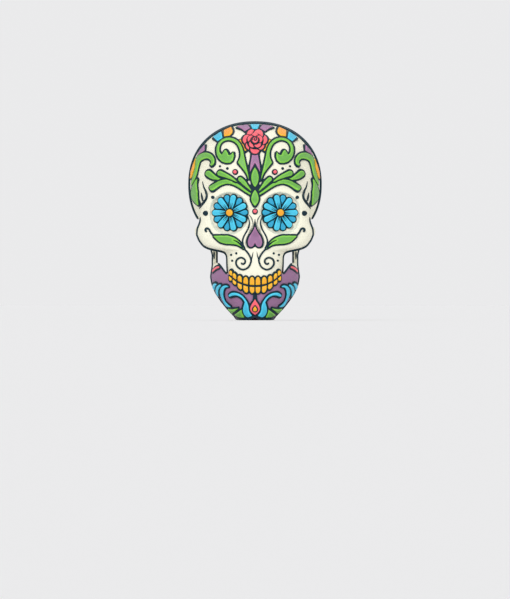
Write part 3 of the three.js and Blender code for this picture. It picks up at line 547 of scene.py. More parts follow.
jawRows = [
    [0, 0.34, 0.889],
    [0.007, 0.41, 0.905],
    [0.035, 0.527, 0.95],
    [0.063, 0.642, 0.975],
    [0.098, 0.764, 0.989],
    [0.14, 0.885, 0.989],
    [0.182, 0.962, 0.986],
    [0.218, 0.99, 0.978],
    [0.273, 0.955, 0.95],
    [0.327, 0.955, 0.91],
    [0.355, 0.99, 0.89],
    [0.48, 1, 0.89],
]
jawTable = smoothRows(jawRows, jawForm["half"], faceForm["reach"])


def drawn(points):
    return points[:, 0], points[:, 1] - drawnShift, points[:, 2]


def sectionAt(table, z):
    # half-width and front of a form's level section at a height
    return np.interp(z, table[0], table[1]), -np.interp(z, table[0], table[2])


def faceMiddle(z):
    # the line across the face's side where its section is widest
    return (faceForm["back"] + sectionAt(faceTable, z)[1]) / 2


def craniumLevel(points):
    x, y, z = drawn(points)
    form = craniumForm
    reach = y / np.where(y < 0, form["front"], form["back"])
    rise = (z - form["centre"]) / form["rise"]
    across = x / ((1 - form["taper"] * np.minimum(0, reach) ** 2) * form["half"])
    power = form["fullness"]
    return (abs(across) ** power + abs(reach) ** power + abs(rise) ** power) ** (1 / power) - 1


def faceLevel(points):
    x, y, z = drawn(points)
    half, front = sectionAt(faceTable, z)
    middle = faceMiddle(z)
    power = faceForm["fullness"]
    level = (abs(x / half) ** power + abs((y - middle) / (middle - front)) ** power) ** (1 / power) - 1
    return level + np.maximum(0, z - faceTable[0][-1]) * faceForm["fade"]


def bridgeLevel(points):
    x, y, z = drawn(points)
    form = bridgeForm
    across, reach = x / form["half"], (y - form["y"]) / form["deep"]
    return np.sqrt(across**2 + reach**2 + ((z - form["z"]) / form["rise"]) ** 2) - 1


def jawLevel(points):
    x, y, z = drawn(points)
    half, front = sectionAt(jawTable, z)
    ahead = np.maximum(0, (jawForm["bend"] - y) / (jawForm["bend"] - front))
    power = jawForm["fullness"]
    return (abs(x / half) ** power + ahead ** power) ** (1 / power) - 1


def measured(level, points):
    # distance from a form's skin in millimetres, less than 0 inside, and the way straight out
    step = 0.02
    value = level(points)
    slope = np.stack([(level(points + step * axis) - value) / step for axis in np.eye(3)], axis=1)
    size = np.linalg.norm(slope, axis=1) + 1e-9
    return value / size, slope / size[:, None]


def blended(first, second, reach):
    part = np.clip(0.5 + 0.5 * (second[0] - first[0]) / reach, 0, 1)
    distance = second[0] * (1 - part) + first[0] * part - reach * part * (1 - part)
    return distance, second[1] * (1 - part[:, None]) + first[1] * part[:, None]


def faceSkin(points):
    return measured(faceLevel, points)


def jawSkin(points):
    return measured(jawLevel, points)


def craniumSkin(points):
    return measured(craniumLevel, points)


blendReach = {"cheeks": 4.0, "bridge": 3.0}


def headSkin(points):
    whole = blended(craniumSkin(points), faceSkin(points), blendReach["cheeks"])
    return blended(whole, measured(bridgeLevel, points), blendReach["bridge"])


# the castings dip a little beside the piped lines along the seam, the cheeks and the jaw
valleys = {
    "seam": {"dip": 2.4, "reach": 30, "foot": 108, "fade": 6},
    "cheek": {"dip": 2.1, "reach": 20, "top": 116, "fade": 6},
    "jaw": {"dip": 1.9, "reach": 16, "line": -30, "foot": 2, "footFade": 5, "top": 82, "topFade": 4},
}


def valleyDip(form, away):
    return form["dip"] * np.clip(1 - away / form["reach"], 0, 1) ** 2


def lineValley(points):
    _, y, z = drawn(points)
    seam, cheek = valleys["seam"], valleys["cheek"]
    seamDip = valleyDip(seam, abs(y)) * np.clip((z - seam["foot"]) / seam["fade"], 0, 1)
    cheekDip = valleyDip(cheek, abs(y - faceMiddle(z))) * np.clip((cheek["top"] - z) / cheek["fade"], 0, 1)
    return np.maximum(seamDip, cheekDip)


def shellSkin(points):
    distance, out = headSkin(points)
    return distance + lineValley(points), out


def backSkin(points):
    distance, out = craniumSkin(points)
    return distance + lineValley(points), out


def jawCastSkin(points):
    distance, out = jawSkin(points)
    _, y, z = drawn(points)
    form = valleys["jaw"]
    dip = valleyDip(form, np.maximum(0, form["line"] - y))
    rising = np.clip((z - form["foot"]) / form["footFade"], 0, 1)
    return distance + dip * rising * np.clip((form["top"] - z) / form["topFade"], 0, 1), out


# how deep each form's front lies behind a place of the front view
def craniumFront(x, z):
    form, power = craniumForm, craniumForm["fullness"]
    rise = abs((z - form["centre"]) / form["rise"]) ** power
    depth = np.full(len(x), 0.5)
    for _ in range(4):
        across = abs(x / ((1 - form["taper"] * depth**2) * form["half"])) ** power
        depth = np.maximum(0, 1 - across - rise) ** (1 / power)
    return np.where(across + rise < 1, -form["front"] * depth, 0.0)


def faceFront(x, z):
    half, front = sectionAt(faceTable, z)
    middle = faceMiddle(z)
    power = faceForm["fullness"]
    depth = np.maximum(0, 1 - abs(x / half) ** power) ** (1 / power)
    inside = (abs(x) < half) & (z < faceTable[0][-1])
    beside = np.where(z < faceForm["sideTop"], middle, 0.0)
    return np.where(inside, middle + (front - middle) * depth, beside)


def headFront(x, z):
    form = bridgeForm
    rise = np.maximum(0, 1 - (x / form["half"]) ** 2 - ((z - form["z"]) / form["rise"]) ** 2) ** 0.5
    bridge = np.where(rise > 0, form["y"] - form["deep"] * rise, 0.0)
    return np.minimum(np.minimum(craniumFront(x, z), faceFront(x, z)), bridge)


def jawFront(x, z):
    half, front = sectionAt(jawTable, z)
    power = jawForm["fullness"]
    depth = np.maximum(0, 1 - abs(x / half) ** power) ** (1 / power)
    return jawForm["bend"] + (front - jawForm["bend"]) * depth


# unrolled views: icing is cut on a sheet where lengths along the surface are nearly true,
# so that its edge stays even where the surface turns away from the front
def craniumRoll():
    form, power = craniumForm, craniumForm["fullness"]
    centre = np.array([0, form["centre"]])
    shares = np.linspace(0, 1, 600)
    depths = form["front"] / form["half"] * (1 - shares**power) ** (1 / power)
    steps = np.hypot(np.diff(shares), np.diff(depths))
    lengths = np.concatenate([[0], np.cumsum(steps)])

    def shareOf(points):
        across, up = abs(points[:, 0] / form["half"]), abs(points[:, 1] / form["rise"])
        return np.maximum((across**power + up**power) ** (1 / power), 1e-6)

    def unroll(points):
        away = points - centre
        share = shareOf(away)
        return away * (np.interp(share, shares, lengths) / np.minimum(share, 1))[:, None]

    def roll(flat):
        length = shareOf(flat)
        return flat * (np.interp(length, lengths, shares) / length)[:, None] + centre

    return unroll, roll


def sectionRoll(table, backLine, power):
    samples, spacing = 400, 2.0
    shares = np.linspace(0, 1, samples)
    heights = np.arange(table[0][0], table[0][-1], spacing)
    lengths = []
    for z in heights:
        half, front = sectionAt(table, z)
        depth = backLine(z) - front
        ys = depth * (1 - shares**power) ** (1 / power)
        lengths.append(np.concatenate([[0], np.cumsum(np.hypot(np.diff(shares * half), np.diff(ys)))]))
    lengths = np.array(lengths)
    evenShares = np.array([np.interp(shares * row[-1], row, shares) for row in lengths])

    def lookUp(grid, z, share):
        rows = np.clip((z - heights[0]) / spacing, 0, len(heights) - 1.001)
        columns = np.clip(share * (samples - 1), 0, samples - 1.001)
        i, j = rows.astype(int), columns.astype(int)
        u, v = rows - i, columns - j
        low = grid[i, j] * (1 - v) + grid[i, j + 1] * v
        high = grid[i + 1, j] * (1 - v) + grid[i + 1, j + 1] * v
        return low * (1 - u) + high * u

    def unroll(points):
        half = np.interp(points[:, 1], table[0], table[1])
        length = lookUp(lengths, points[:, 1], np.minimum(abs(points[:, 0]) / half, 1))
        return np.stack([np.sign(points[:, 0]) * length, points[:, 1]], axis=1)

    def roll(flat):
        half = np.interp(flat[:, 1], table[0], table[1])
        whole = lookUp(lengths, flat[:, 1], np.ones(len(flat)))
        share = lookUp(evenShares, flat[:, 1], np.minimum(abs(flat[:, 0]) / whole, 1))
        return np.stack([np.sign(flat[:, 0]) * half * share, flat[:, 1]], axis=1)

    return unroll, roll


def jawBackLine(_):
    return jawForm["bend"]


icingBox = {"half": 73.6, "low": 0.05, "high": 219.9}  # all icing stays inside
landing = {"leastSlope": -0.3, "stride": 2}  # how it is moved back until it meets a skin


def surfaceOn(skin, front, rolls):
    # puts places of the sheet at a height over a skin
    unroll, roll = rolls

    def lay(flat, height):
        x, z = roll(flat).T
        points = np.stack([x, front(x, z) + drawnShift, z], axis=1)
        for _ in range(4):
            distance, out = skin(points)
            ahead = distance / np.minimum(out[:, 1], landing["leastSlope"])
            points[:, 1] -= np.clip(ahead, -landing["stride"], landing["stride"])
        for _ in range(3):
            distance, out = skin(points)
            points = points + out * (height - distance)[:, None]
        points[:, 0] = np.clip(points[:, 0], -icingBox["half"], icingBox["half"])
        points[:, 2] = np.clip(points[:, 2], icingBox["low"], icingBox["high"])
        return points

    return {"unroll": unroll, "roll": roll, "lay": lay, "skin": skin, "front": front}


faceRolls = sectionRoll(faceTable, faceMiddle, faceForm["fullness"])
jawRolls = sectionRoll(jawTable, jawBackLine, jawForm["fullness"])
onForehead = surfaceOn(shellSkin, headFront, craniumRoll())
onCheeks = surfaceOn(shellSkin, headFront, faceRolls)
onUpperJaw = surfaceOn(faceSkin, faceFront, faceRolls)
onJaw = surfaceOn(jawSkin, jawFront, jawRolls)


socketFloor = {"turn": 13, "x": 26.8, "y": -77.99, "z": 118.2}


def socketSurface(side):
    # the flat floor of an eye socket, turned a little to its side
    turn = np.array(Matrix.Rotation(side * math.radians(socketFloor["turn"]), 3, "Z"))
    centre = np.array([side * socketFloor["x"], drawnShift + socketFloor["y"], socketFloor["z"]])

    def lay(flat, height):
        return np.stack([flat[:, 0], -height, flat[:, 1]], axis=1) @ turn.T + centre

    return {"unroll": lambda points: points, "lay": lay, "skin": None}


print("stage: smooth forms")


# outlines on the front view
def curveThrough(points, count, fineness=24):
    # an even walk along a smooth line through the points
    points = np.array(points, float)
    padded = np.vstack([2 * points[0] - points[1], points, 2 * points[-1] - points[-2]])
    walk = []
    for i in range(len(points) - 1):
        a, b, c, d = padded[i : i + 4]
        for t in np.linspace(0, 1, fineness, endpoint=False):
            bend = (2 * a - 5 * b + 4 * c - d) * t**2 + (3 * b - a - 3 * c + d) * t**3
            walk.append(0.5 * (2 * b + (c - a) * t + bend))
    walk = np.array(walk + [points[-1]])
    steps = np.concatenate([[0], np.cumsum(np.linalg.norm(np.diff(walk, axis=0), axis=1))])
    even = np.linspace(0, steps[-1], count)
    return np.stack([np.interp(even, steps, walk[:, k]) for k in range(walk.shape[1])], axis=1)


def ribbon(points, halves, count=48, cap=9):
    # a band along a smooth line with round ends: halves are its half-widths, spread along it
    line = curveThrough(points, count)
    way = np.gradient(line, axis=0)
    way = way / np.linalg.norm(way, axis=1)[:, None]
    across = np.stack([-way[:, 1], way[:, 0]], axis=1)
    halves = np.atleast_1d(np.array(halves, float))
    reach = np.interp(np.linspace(0, len(halves) - 1, count), np.arange(len(halves)), halves)[:, None]
    left, right = line + across * reach, line - across * reach
    turns = np.linspace(0, math.pi, cap + 2)[1:-1]
    end = [line[-1] + (across[-1] * math.cos(a) + way[-1] * math.sin(a)) * reach[-1] for a in turns]
    start = [line[0] - (across[0] * math.cos(a) + way[0] * math.sin(a)) * reach[0] for a in turns]
    return np.vstack([left, end, right[::-1], start])


def circle(centre, radius, count=28):
    turns = np.linspace(0, 2 * math.pi, count, endpoint=False)
    return np.array(centre, float) + np.stack([np.cos(turns), np.sin(turns)], axis=1) * radius


def bezier(groups, count=16):
    # a closed outline from cubic runs of four points
    points = []
    for group in groups:
        a, b, c, d = [np.array(p, float) for p in group]
        for t in np.linspace(0, 1, count, endpoint=False):
            points.append(a * (1 - t) ** 3 + 3 * b * t * (1 - t) ** 2 + 3 * c * t * t * (1 - t) + d * t**3)
    return np.array(points)


def onSide(outline, side):
    # outlines are drawn for the right side and mirrored for the left
    outline = np.array(outline, float)
    return outline if side > 0 else outline[::-1] * np.array([-1.0, 1.0])


def allOnSide(outlines, side):
    return [onSide(outline, side) for outline in outlines]


def onBothSides(outlines):
    return [shape for _, side in sides for shape in allOnSide(outlines, side)]


def evenly(outline, step=0.6):
    closed = np.vstack([outline, outline[:1]])
    lengths = np.concatenate([[0], np.cumsum(np.linalg.norm(np.diff(closed, axis=0), axis=1))])
    walk = np.linspace(0, lengths[-1], max(16, int(lengths[-1] / step)), endpoint=False)
    return np.stack([np.interp(walk, lengths, closed[:, k]) for k in range(2)], axis=1)


def edgeDistance(points, outline):
    # how deep each place lies inside an outline, less than 0 outside
    best = np.full(len(points), 1e9)
    inside = np.zeros(len(points), bool)
    for a, b in zip(outline, np.roll(outline, -1, axis=0)):
        step = b - a
        away = points - a
        along = np.clip(away @ step / max(step @ step, 1e-9), 0, 1)
        away = away - along[:, None] * step
        best = np.minimum(best, away[:, 0] ** 2 + away[:, 1] ** 2)
        if abs(step[1]) > 1e-12:
            crosses = (a[1] > points[:, 1]) != (b[1] > points[:, 1])
            inside ^= crosses & (points[:, 0] < step[0] * (points[:, 1] - a[1]) / step[1] + a[0])
    best = np.sqrt(best)
    return np.where(inside, best, -best)


def outwardOf(outline):
    ahead = np.roll(outline, -1, axis=0) - np.roll(outline, 1, axis=0)
    following = np.roll(outline, -1, axis=0)
    area = (outline[:, 0] * following[:, 1] - following[:, 0] * outline[:, 1]).sum()
    out = np.stack([ahead[:, 1], -ahead[:, 0]], axis=1) * np.sign(area)
    return out / (np.linalg.norm(out, axis=1)[:, None] + 1e-9)


def grown(outline, rim):
    # the outline moved outward by a rim, without the loops that this makes in tight corners
    rims = np.broadcast_to(np.array(rim, float), len(outline))
    if not rims.any():
        return outline
    moved = outline + outwardOf(outline) * rims[:, None]
    kept = abs(edgeDistance(moved, outline)) > abs(rims) * 0.9
    return moved[kept]


def leaning(flat, surface):
    # how far the way out of a surface leads across and up, at places of the front view
    x, z = flat.T
    return surface["skin"](np.stack([x, surface["front"](x, z) + drawnShift, z], axis=1))[1][:, [0, 2]]


def aimed(shape, surface, height):
    # moves an outline so that its top, this high over the skin, shows at its place from the front
    target = evenly(np.array(shape, float))
    flat = target
    if surface["skin"] is None or not height:
        return flat
    for _ in range(4):
        flat = target - leaning(flat, surface) * height
    return flat


rimShaping = {"probe": 0.5, "mostStretch": 1.6, "softPoints": 12}


def onSheet(shape, surface, height, rim, lift=0):
    # the outline on the unrolled sheet with a rim that looks nearly even from the front:
    # lift is how much higher the shape lies than its rim, which hides a part of it
    flat = aimed(shape, surface, height)
    sheet = surface["unroll"](flat)
    if surface["skin"] is None or not rim:
        return grown(sheet, rim)
    probe, soft = rimShaping["probe"], rimShaping["softPoints"]
    hidden = lift * (leaning(flat, surface) * outwardOf(flat)).sum(1)
    away = surface["roll"](sheet + outwardOf(sheet) * probe) - flat
    stretch = np.clip(probe / (np.linalg.norm(away, axis=1) + 1e-6), 1, rimShaping["mostStretch"])
    rims = (rim + hidden) * stretch
    padded = np.concatenate([rims[-soft:], rims, rims[:soft]])
    window = np.ones(2 * soft + 1) / (2 * soft + 1)
    return grown(sheet, np.convolve(padded, window, "valid"))


def overlaps(first, second, margin=0):
    low, high = np.min(first, axis=0) - margin, np.max(first, axis=0) + margin
    return bool((np.min(second, axis=0) < high).all() and (np.max(second, axis=0) > low).all())


# icing: a flat plate of the outline is cut on the sheet, remeshed and laid down with a rounded edge
plateDepth, overrun = 2.0, 1
icingStyle = {
    "rounding": 1.0,  # how far in from its edge the icing still rises
    "lip": 0.4,  # share of its height at the very edge
    "voxel": 0.5,
    "rim": 0,  # grows the shapes
    "cutters": [],  # shapes that are cut out of it
    "gap": 1.0,  # how far it keeps off the cutters
    "melted": False,  # joins the shapes into one pad
    "aim": 0.6,  # this high over the skin the shapes show at their places from the front
}


def addPlate(outline, front, back):
    deselect()
    bpy.ops.mesh.primitive_circle_add(vertices=len(outline), radius=mm, fill_type="NGON")
    plate = bpy.context.object
    flat = np.stack([outline[:, 0], np.full(len(outline), back), outline[:, 1]], axis=1)
    setPoints(plate, flat)
    bpy.ops.object.mode_set(mode="EDIT")
    bpy.ops.mesh.select_all(action="SELECT")
    bpy.ops.mesh.extrude_region_move(TRANSFORM_OT_translate={"value": (0, (front - back) * mm, 0)})
    bpy.ops.mesh.select_all(action="SELECT")
    bpy.ops.mesh.normals_make_consistent(inside=False)
    bpy.ops.object.mode_set(mode="OBJECT")
    return plate


def cutPlate(plate, cutters):
    for outline in cutters:
        tool = addPlate(outline, -plateDepth - overrun, overrun)
        modifier = plate.modifiers.new("cut", "BOOLEAN")
        modifier.object = tool
        modifier.solver = "EXACT"
        applyModifiers(plate)
        bpy.data.objects.remove(tool)


def layPlate(plate, outlines, cutters, surface, low, high, rounding, lip):
    points = pointsOf(plate)
    flat = points[:, [0, 2]]
    edge = np.max([edgeDistance(flat, outline) for outline in outlines], axis=0)
    for outline in cutters:
        edge = np.minimum(edge, -edgeDistance(flat, outline))
    inward = np.clip(edge / rounding, 0, 1)
    swell = lip + (1 - lip) * np.sqrt(1 - (1 - inward) ** 2)
    share = np.clip(-points[:, 1] / plateDepth, 0, 1)
    setPoints(plate, surface["lay"](flat, low + share * swell * (high - low)))
    attribute = plate.data.attributes.new("edge", "FLOAT", "POINT")
    attribute.data.foreach_set("value", np.maximum(edge, 0).astype(np.float32))


def addIcing(shapes, surface, low, high, **shaping):
    # low and high are heights over the surface: an aim over 1 mm is the top of what lies on a backing,
    # so the backing's rim is widened by what that hides of it
    style = {**icingStyle, **shaping}
    nearby = 4
    lift = style["aim"] - (low + high) / 2 if style["aim"] > 1 else 0
    sheet = [onSheet(shape, surface, style["aim"], style["rim"], lift) for shape in shapes]
    cutters = []
    for cutter in style["cutters"]:
        if any(overlaps(shape, cutter, nearby) for shape in shapes):
            cutters.append(onSheet(cutter, surface, style["aim"], style["gap"]))
    pads = []
    for group in [sheet] if style["melted"] else [[outline] for outline in sheet]:
        near = [cutter for cutter in cutters if any(overlaps(outline, cutter) for outline in group)]
        plates = [addPlate(outline, -plateDepth, 0) for outline in group]
        if not style["melted"]:
            cutPlate(plates[0], near)
        pad = joinAll(plates, "pad")
        remesh(pad, style["voxel"])
        if style["melted"] and near:
            cutPlate(pad, near)
            remesh(pad, style["voxel"])
        if len(pad.data.vertices) == 0:
            bpy.data.objects.remove(pad)
            continue
        layPlate(pad, group, near, surface, low, high, style["rounding"], style["lip"])
        pads.append(pad)
    return joinAll(pads, "icing")


def ice(name, finish, body, shapes, surface, low, high, nodes=(), **shaping):
    icing = addIcing(shapes, surface, low, high, **shaping)
    icing.name = name
    icing.data.name = name
    return dress(icing, finish, body, nodes)


def addPiping(route, radii, name, rounded=2.5, wobble=0.03, around=14):
    # a piped line along a route in space: the first radius is across, the second along Y where it can be
    waves = {"quick": 0.9, "slow": 0.37}
    mergeDistance, thinnest = 0.02, 0.002
    route = np.array(route, float)
    rings = len(route)
    deselect()
    bpy.ops.mesh.primitive_grid_add(x_subdivisions=rings - 1, y_subdivisions=around, size=2 * mm)
    pipe = bpy.context.object
    pipe.name = name
    pipe.data.name = name
    cells = pointsOf(pipe)
    ring = np.rint((cells[:, 0] + 1) / 2 * (rings - 1)).astype(int)
    turn = (cells[:, 1] + 1) * math.pi
    way = np.gradient(route, axis=0)
    way = way / np.linalg.norm(way, axis=1)[:, None]
    second = np.array([0.0, 1.0, 0.0]) - way[0] * way[0][1]
    if np.linalg.norm(second) < 0.2:
        second = np.array([0.0, 0.0, 1.0]) - way[0] * way[0][2]
    frames = []
    for i in range(rings):
        second = second - way[i] * (second @ way[i])
        second = second / np.linalg.norm(second)
        frames.append((np.cross(way[i], second), second))
    frames = np.array(frames)
    steps = np.concatenate([[0], np.cumsum(np.linalg.norm(np.diff(route, axis=0), axis=1))])
    toEnd = np.clip(np.minimum(steps, steps[-1] - steps) / rounded, 0, 1)
    swell = 1 + wobble * np.sin(steps * waves["quick"]) * np.sin(steps * waves["slow"] + 1)
    size = np.sqrt(1 - (1 - toEnd) ** 2) * swell
    size = np.maximum(size, thinnest)[ring][:, None]
    points = route[ring] + frames[ring, 0] * (np.cos(turn)[:, None] * size * radii[0])
    setPoints(pipe, points + frames[ring, 1] * (np.sin(turn)[:, None] * size * radii[1]))
    bpy.ops.object.mode_set(mode="EDIT")
    bpy.ops.mesh.select_all(action="SELECT")
    bpy.ops.mesh.remove_doubles(threshold=mergeDistance * mm)
    bpy.ops.mesh.normals_make_consistent(inside=False)
    bpy.ops.object.mode_set(mode="OBJECT")
    return pipe


# castings: each CAD solid is copied, remeshed fine and settled on its smooth form
def copyOf(node, name):
    mergeDistance = 0.01
    source = frame["nodes"][node]
    piece = source.copy()
    piece.data = source.data.copy()
    piece.parent = None
    for key in list(piece.keys()):
        del piece[key]
    bpy.context.scene.collection.objects.link(piece)
    piece.name = name
    piece.data.name = name
    pick(piece)
    bpy.ops.object.mode_set(mode="EDIT")
    bpy.ops.mesh.select_all(action="SELECT")
    bpy.ops.mesh.remove_doubles(threshold=mergeDistance * mm)
    bpy.ops.object.mode_set(mode="OBJECT")
    return piece


settling = {"facing": 0.45, "facingFade": 0.3, "reachFade": 0.6, "first": 4.2, "second": 1.0, "smoothing": 3}
hollows = {
    "socket": {"x": 27.5, "z": 117.9, "radius": 24.5, "front": -50, "depth": 0.8},
    "nose": {"half": 11.5, "z": 90, "rise": 18, "front": -60, "depth": 1.0},
}


def settle(piece, skin, reach, spared):
    # outer faces go to the smooth form, cut faces and walls stay
    for _ in range(2):
        points = pointsOf(piece)
        distance, out = skin(points)
        facing = (normalsOf(piece) * out).sum(1)
        weight = np.clip((facing - settling["facing"]) / settling["facingFade"], 0, 1)
        weight = weight * np.clip((reach - abs(distance)) / settling["reachFade"], 0, 1)
        weight[spared(points, distance)] = 0
        points = points - out * (distance * weight)[:, None]
        points[:, 2] = np.maximum(points[:, 2], 0)
        setPoints(piece, points)


def spareHollows(points, distance):
    # the floors and walls of the eye sockets and the nose keep their places
    x, y, z = points.T
    socket, nose = hollows["socket"], hollows["nose"]
    sunk = (y < drawnShift + socket["front"]) & (distance < -socket["depth"])
    inSockets = np.zeros(len(points), bool)
    for _, side in sides:
        inSockets |= (np.hypot(x - side * socket["x"], z - socket["z"]) < socket["radius"]) & sunk
    inNose = (x / nose["half"]) ** 2 + ((z - nose["z"]) / nose["rise"]) ** 2 < 1
    return inSockets | (inNose & (y < drawnShift + nose["front"]) & (distance < -nose["depth"]))


def spareNone(points, _):
    return np.zeros(len(points), bool)


castings = [
    # node, skin, voxel, what is spared, finish, body
    ("face_shell", shellSkin, 1.2, spareHollows, "cream", "skull"),
    ("back_shell", backSkin, 1.5, spareNone, "cream", "skull"),
    ("jaw", jawCastSkin, 0.9, spareNone, "jaw", "jaw"),
]
for node, skin, voxel, spared, finish, body in castings:
    casting = copyOf(node, node + "_cast")
    remesh(casting, voxel)
    settle(casting, skin, settling["first"], spared)
    relax(casting, settling["smoothing"])
    settle(casting, skin, settling["second"], spared)
    dress(casting, finish, body, [node])
    print("  casting", node, len(casting.data.polygons), "faces")


def crownPlace(angle, share):
    # a place on the cranium's outline, by its angle from the top and its share of the way out
    across, up = math.sin(angle), math.cos(angle)
    power = craniumForm["fullness"]
    size = (abs(across) ** power + abs(up) ** power) ** (1 / power)
    rise = craniumForm["centre"] + up / size * share * craniumForm["rise"]
    return across / size * share * craniumForm["half"], rise


# the seam is one piped line of icing over the whole cranium, from ear to ear
seam = {"endAngle": 123.2, "share": 0.9980, "radii": (1.22, 2.6), "rings": 260}
seam["piping"] = {"rounded": 3.0, "wobble": 0.02}
seamLow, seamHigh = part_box("seam_bead")
seamY = (seamLow.y + seamHigh.y) / 2 / mm
seamEnd = math.radians(seam["endAngle"])
seamRoute = []
for angle in np.linspace(-seamEnd, seamEnd, seam["rings"]):
    x, z = crownPlace(angle, seam["share"])
    seamRoute.append((x, seamY, z))
seamPiece = addPiping(seamRoute, seam["radii"], "seam_bead_iced", **seam["piping"])
dress(seamPiece, "ink", "skull", ["seam_bead"])
print("stage: castings")


# hinge: pin heads with a screwdriver slot, and plain washers
def addRod(radius, start, stop, middle):
    deselect()
    bpy.ops.mesh.primitive_cylinder_add(
        vertices=48,
        radius=radius * mm,
        depth=abs(stop - start) * mm,
        location=((start + stop) / 2 * mm, middle.y * mm, middle.z * mm),
        rotation=(0, math.radians(90), 0),
    )
    bpy.ops.object.transform_apply(location=True, rotation=True, scale=True)
    return bpy.context.object


def roundEdges(item, width):
    # a small bevel on every sharp edge
    bevel = item.modifiers.new("bevel", "BEVEL")
    bevel.width = width * mm
    bevel.segments = 3
    bevel.limit_method = "ANGLE"
    applyModifiers(item)


hinge = {
    "seat": 50.8,
    "head": 52.8,
    "radius": 2.5,
    "headRadius": 5.0,
    "slot": {"wide": 1.6, "deep": 0.8, "long": 12},
    "edges": {"shaft": 0.3, "head": 0.4, "washer": 0.15},
    "sharpAngle": 35,
}
for word, side in sides:
    low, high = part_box(word + "_hinge_pin")
    middle = (low + high) / 2 / mm
    inner = min(abs(low.x), abs(high.x)) / mm
    shaft = addRod(hinge["radius"], side * inner, side * hinge["seat"], middle)
    head = addRod(hinge["headRadius"], side * hinge["seat"], side * hinge["head"], middle)
    deselect()
    place = (side * hinge["head"] * mm, middle.y * mm, middle.z * mm)
    bpy.ops.mesh.primitive_cube_add(size=1, location=place)
    slot = bpy.context.object
    slot.scale = (2 * hinge["slot"]["deep"] * mm, hinge["slot"]["wide"] * mm, hinge["slot"]["long"] * mm)
    bpy.ops.object.transform_apply(location=True, rotation=True, scale=True)
    cut = head.modifiers.new("slot", "BOOLEAN")
    cut.object = slot
    applyModifiers(head)
    bpy.data.objects.remove(slot)
    roundEdges(head, hinge["edges"]["head"])
    roundEdges(shaft, hinge["edges"]["shaft"])
    pin = joinAll([shaft, head], word + "_hinge_pin_turned")
    dress(pin, "steel", "skull", [word + "_hinge_pin"], hinge["sharpAngle"])
    washer = copyOf(word + "_hinge_washer", word + "_hinge_washer_turned")
    roundEdges(washer, hinge["edges"]["washer"])
    dress(washer, "steel", "skull", [word + "_hinge_washer"], hinge["sharpAngle"])
print("stage: hinge")

# teeth: bulging crowns with rounded roots over a pad of dark icing
teeth = {
    "places": [3.3, 10.4, 17.0, 22.9, 27.3],
    "halves": [2.6, 2.6, 2.3, 1.85, 1.6],
    "upperRoots": [47.5, 47.5, 48.9, 51.6, 54.6],
    "lowerRoots": [29.5, 30.1, 33.8, 38.9, 43.2],
    "upperLeans": [0, 0, 0.4, 0.7, 0],
    "lowerLeans": [-0.4, -0.9, -1.1, -0.8, 0.2],
    "bite": 2.0,
    "biteShare": 0.17,  # of the skull's height, in the middle
    "riseShare": 0.052,
    "cornerShare": 0.89,
    "shoulderShare": 0.45,
    "gum": {"low": -0.2, "high": 1.5, "rim": 1.7, "rounding": 0.7, "voxel": 0.45, "melted": True, "aim": 2.4},
    "crown": {"low": 0.3, "high": 3.2, "rounding": 2.2, "voxel": 0.4, "lip": 0.5, "aim": 2.4},
}


def biteHeight(x):
    # the bite line rises towards the corners of the mouth
    away = abs(x) / (faceForm["mouthHalf"] * teeth["cornerShare"])
    return skullHeight * (teeth["biteShare"] + teeth["riseShare"] * away ** faceForm["fullness"])


def toothOutline(middle, half, root, lean, row):
    across = np.linspace(-half, half, 7)
    biting = biteHeight(middle + across) + row * teeth["bite"] / 2
    shoulder = biting[3] + (root - biting[3]) * teeth["shoulderShare"]
    turns = np.linspace(0, math.pi, 17)
    rootX = middle + half * np.cos(turns) + np.sin(turns) * lean
    rootZ = shoulder + (root - shoulder) * np.sin(turns)
    return np.vstack([np.stack([middle + across, biting], axis=1), np.stack([rootX, rootZ], axis=1)])


for row, word, body, surface in ((1, "upper", "skull", onUpperJaw), (-1, "lower", "jaw", onJaw)):
    shapes = []
    for i, middle in enumerate(teeth["places"]):
        root, lean = teeth[word + "Roots"][i], teeth[word + "Leans"][i]
        shapes += onBothSides([toothOutline(middle, teeth["halves"][i], root, lean, row)])
    ice(word + "_gum_icing", "ink", body, shapes, surface, **teeth["gum"])
    node = word + "_teeth"
    ice(node + "_moulded", "gold", body, shapes, surface, nodes=[node], **teeth["crown"])
print("stage: teeth")

# eye flowers: seven petals over seven more, round a button, all on the socket's floor
flower = {
    "petals": 7,
    "front": {"start": 4, "tip": 19.9, "neck": 1.5, "half": 3.1},
    "rear": {"start": 5, "tip": 19.7, "neck": 0.9, "half": 3.0},
    "belly": 0.35,
    "frontStreaks": {"start": 5, "stop": 11.6, "gap": 0.62},
    "rearStreaks": {"start": 7.5, "stop": 12.2, "gap": 0.5},
    "streakHalves": [0.5, 0.4, 0.15],
    "partShares": (0.7, 1.5),  # of the gap, at a streak's start and stop
    "bow": 0.1,
    "disc": 14,
    "ring": 5.3,
    "button": 3.7,
}
flowerLayers = {
    "backing": {"low": 0.3, "high": 1.5, "rim": 1.35, "rounding": 0.6, "melted": True},
    "rear": {"low": 1.3, "high": 3.0, "rounding": 1.4, "voxel": 0.42, "gap": 1.15},
    "shadow": {"low": 1.3, "high": 3.2, "rim": 0.75, "rounding": 0.5, "melted": True},
    "front": {"low": 2.9, "high": 5.0, "rounding": 1.7, "voxel": 0.4},
    "frontStreaks": {"low": 4.4, "high": 5.35, "rounding": 0.4, "voxel": 0.22},
    "rearStreaks": {"low": 2.4, "high": 3.3, "rounding": 0.4, "voxel": 0.22},
    "ring": {"low": 4.3, "high": 5.7, "rounding": 0.6, "voxel": 0.4},
    "button": {"low": 5.3, "high": 7.7, "rounding": 3.0, "voxel": 0.35},
}


def petal(turn, start, tip, neck, half):
    way = np.array([math.cos(turn), math.sin(turn)])
    line = [way * start, way * (start + tip) / 2, way * (tip - half)]
    return ribbon(line, [neck, (neck + half) / 2 + flower["belly"], half], 16)


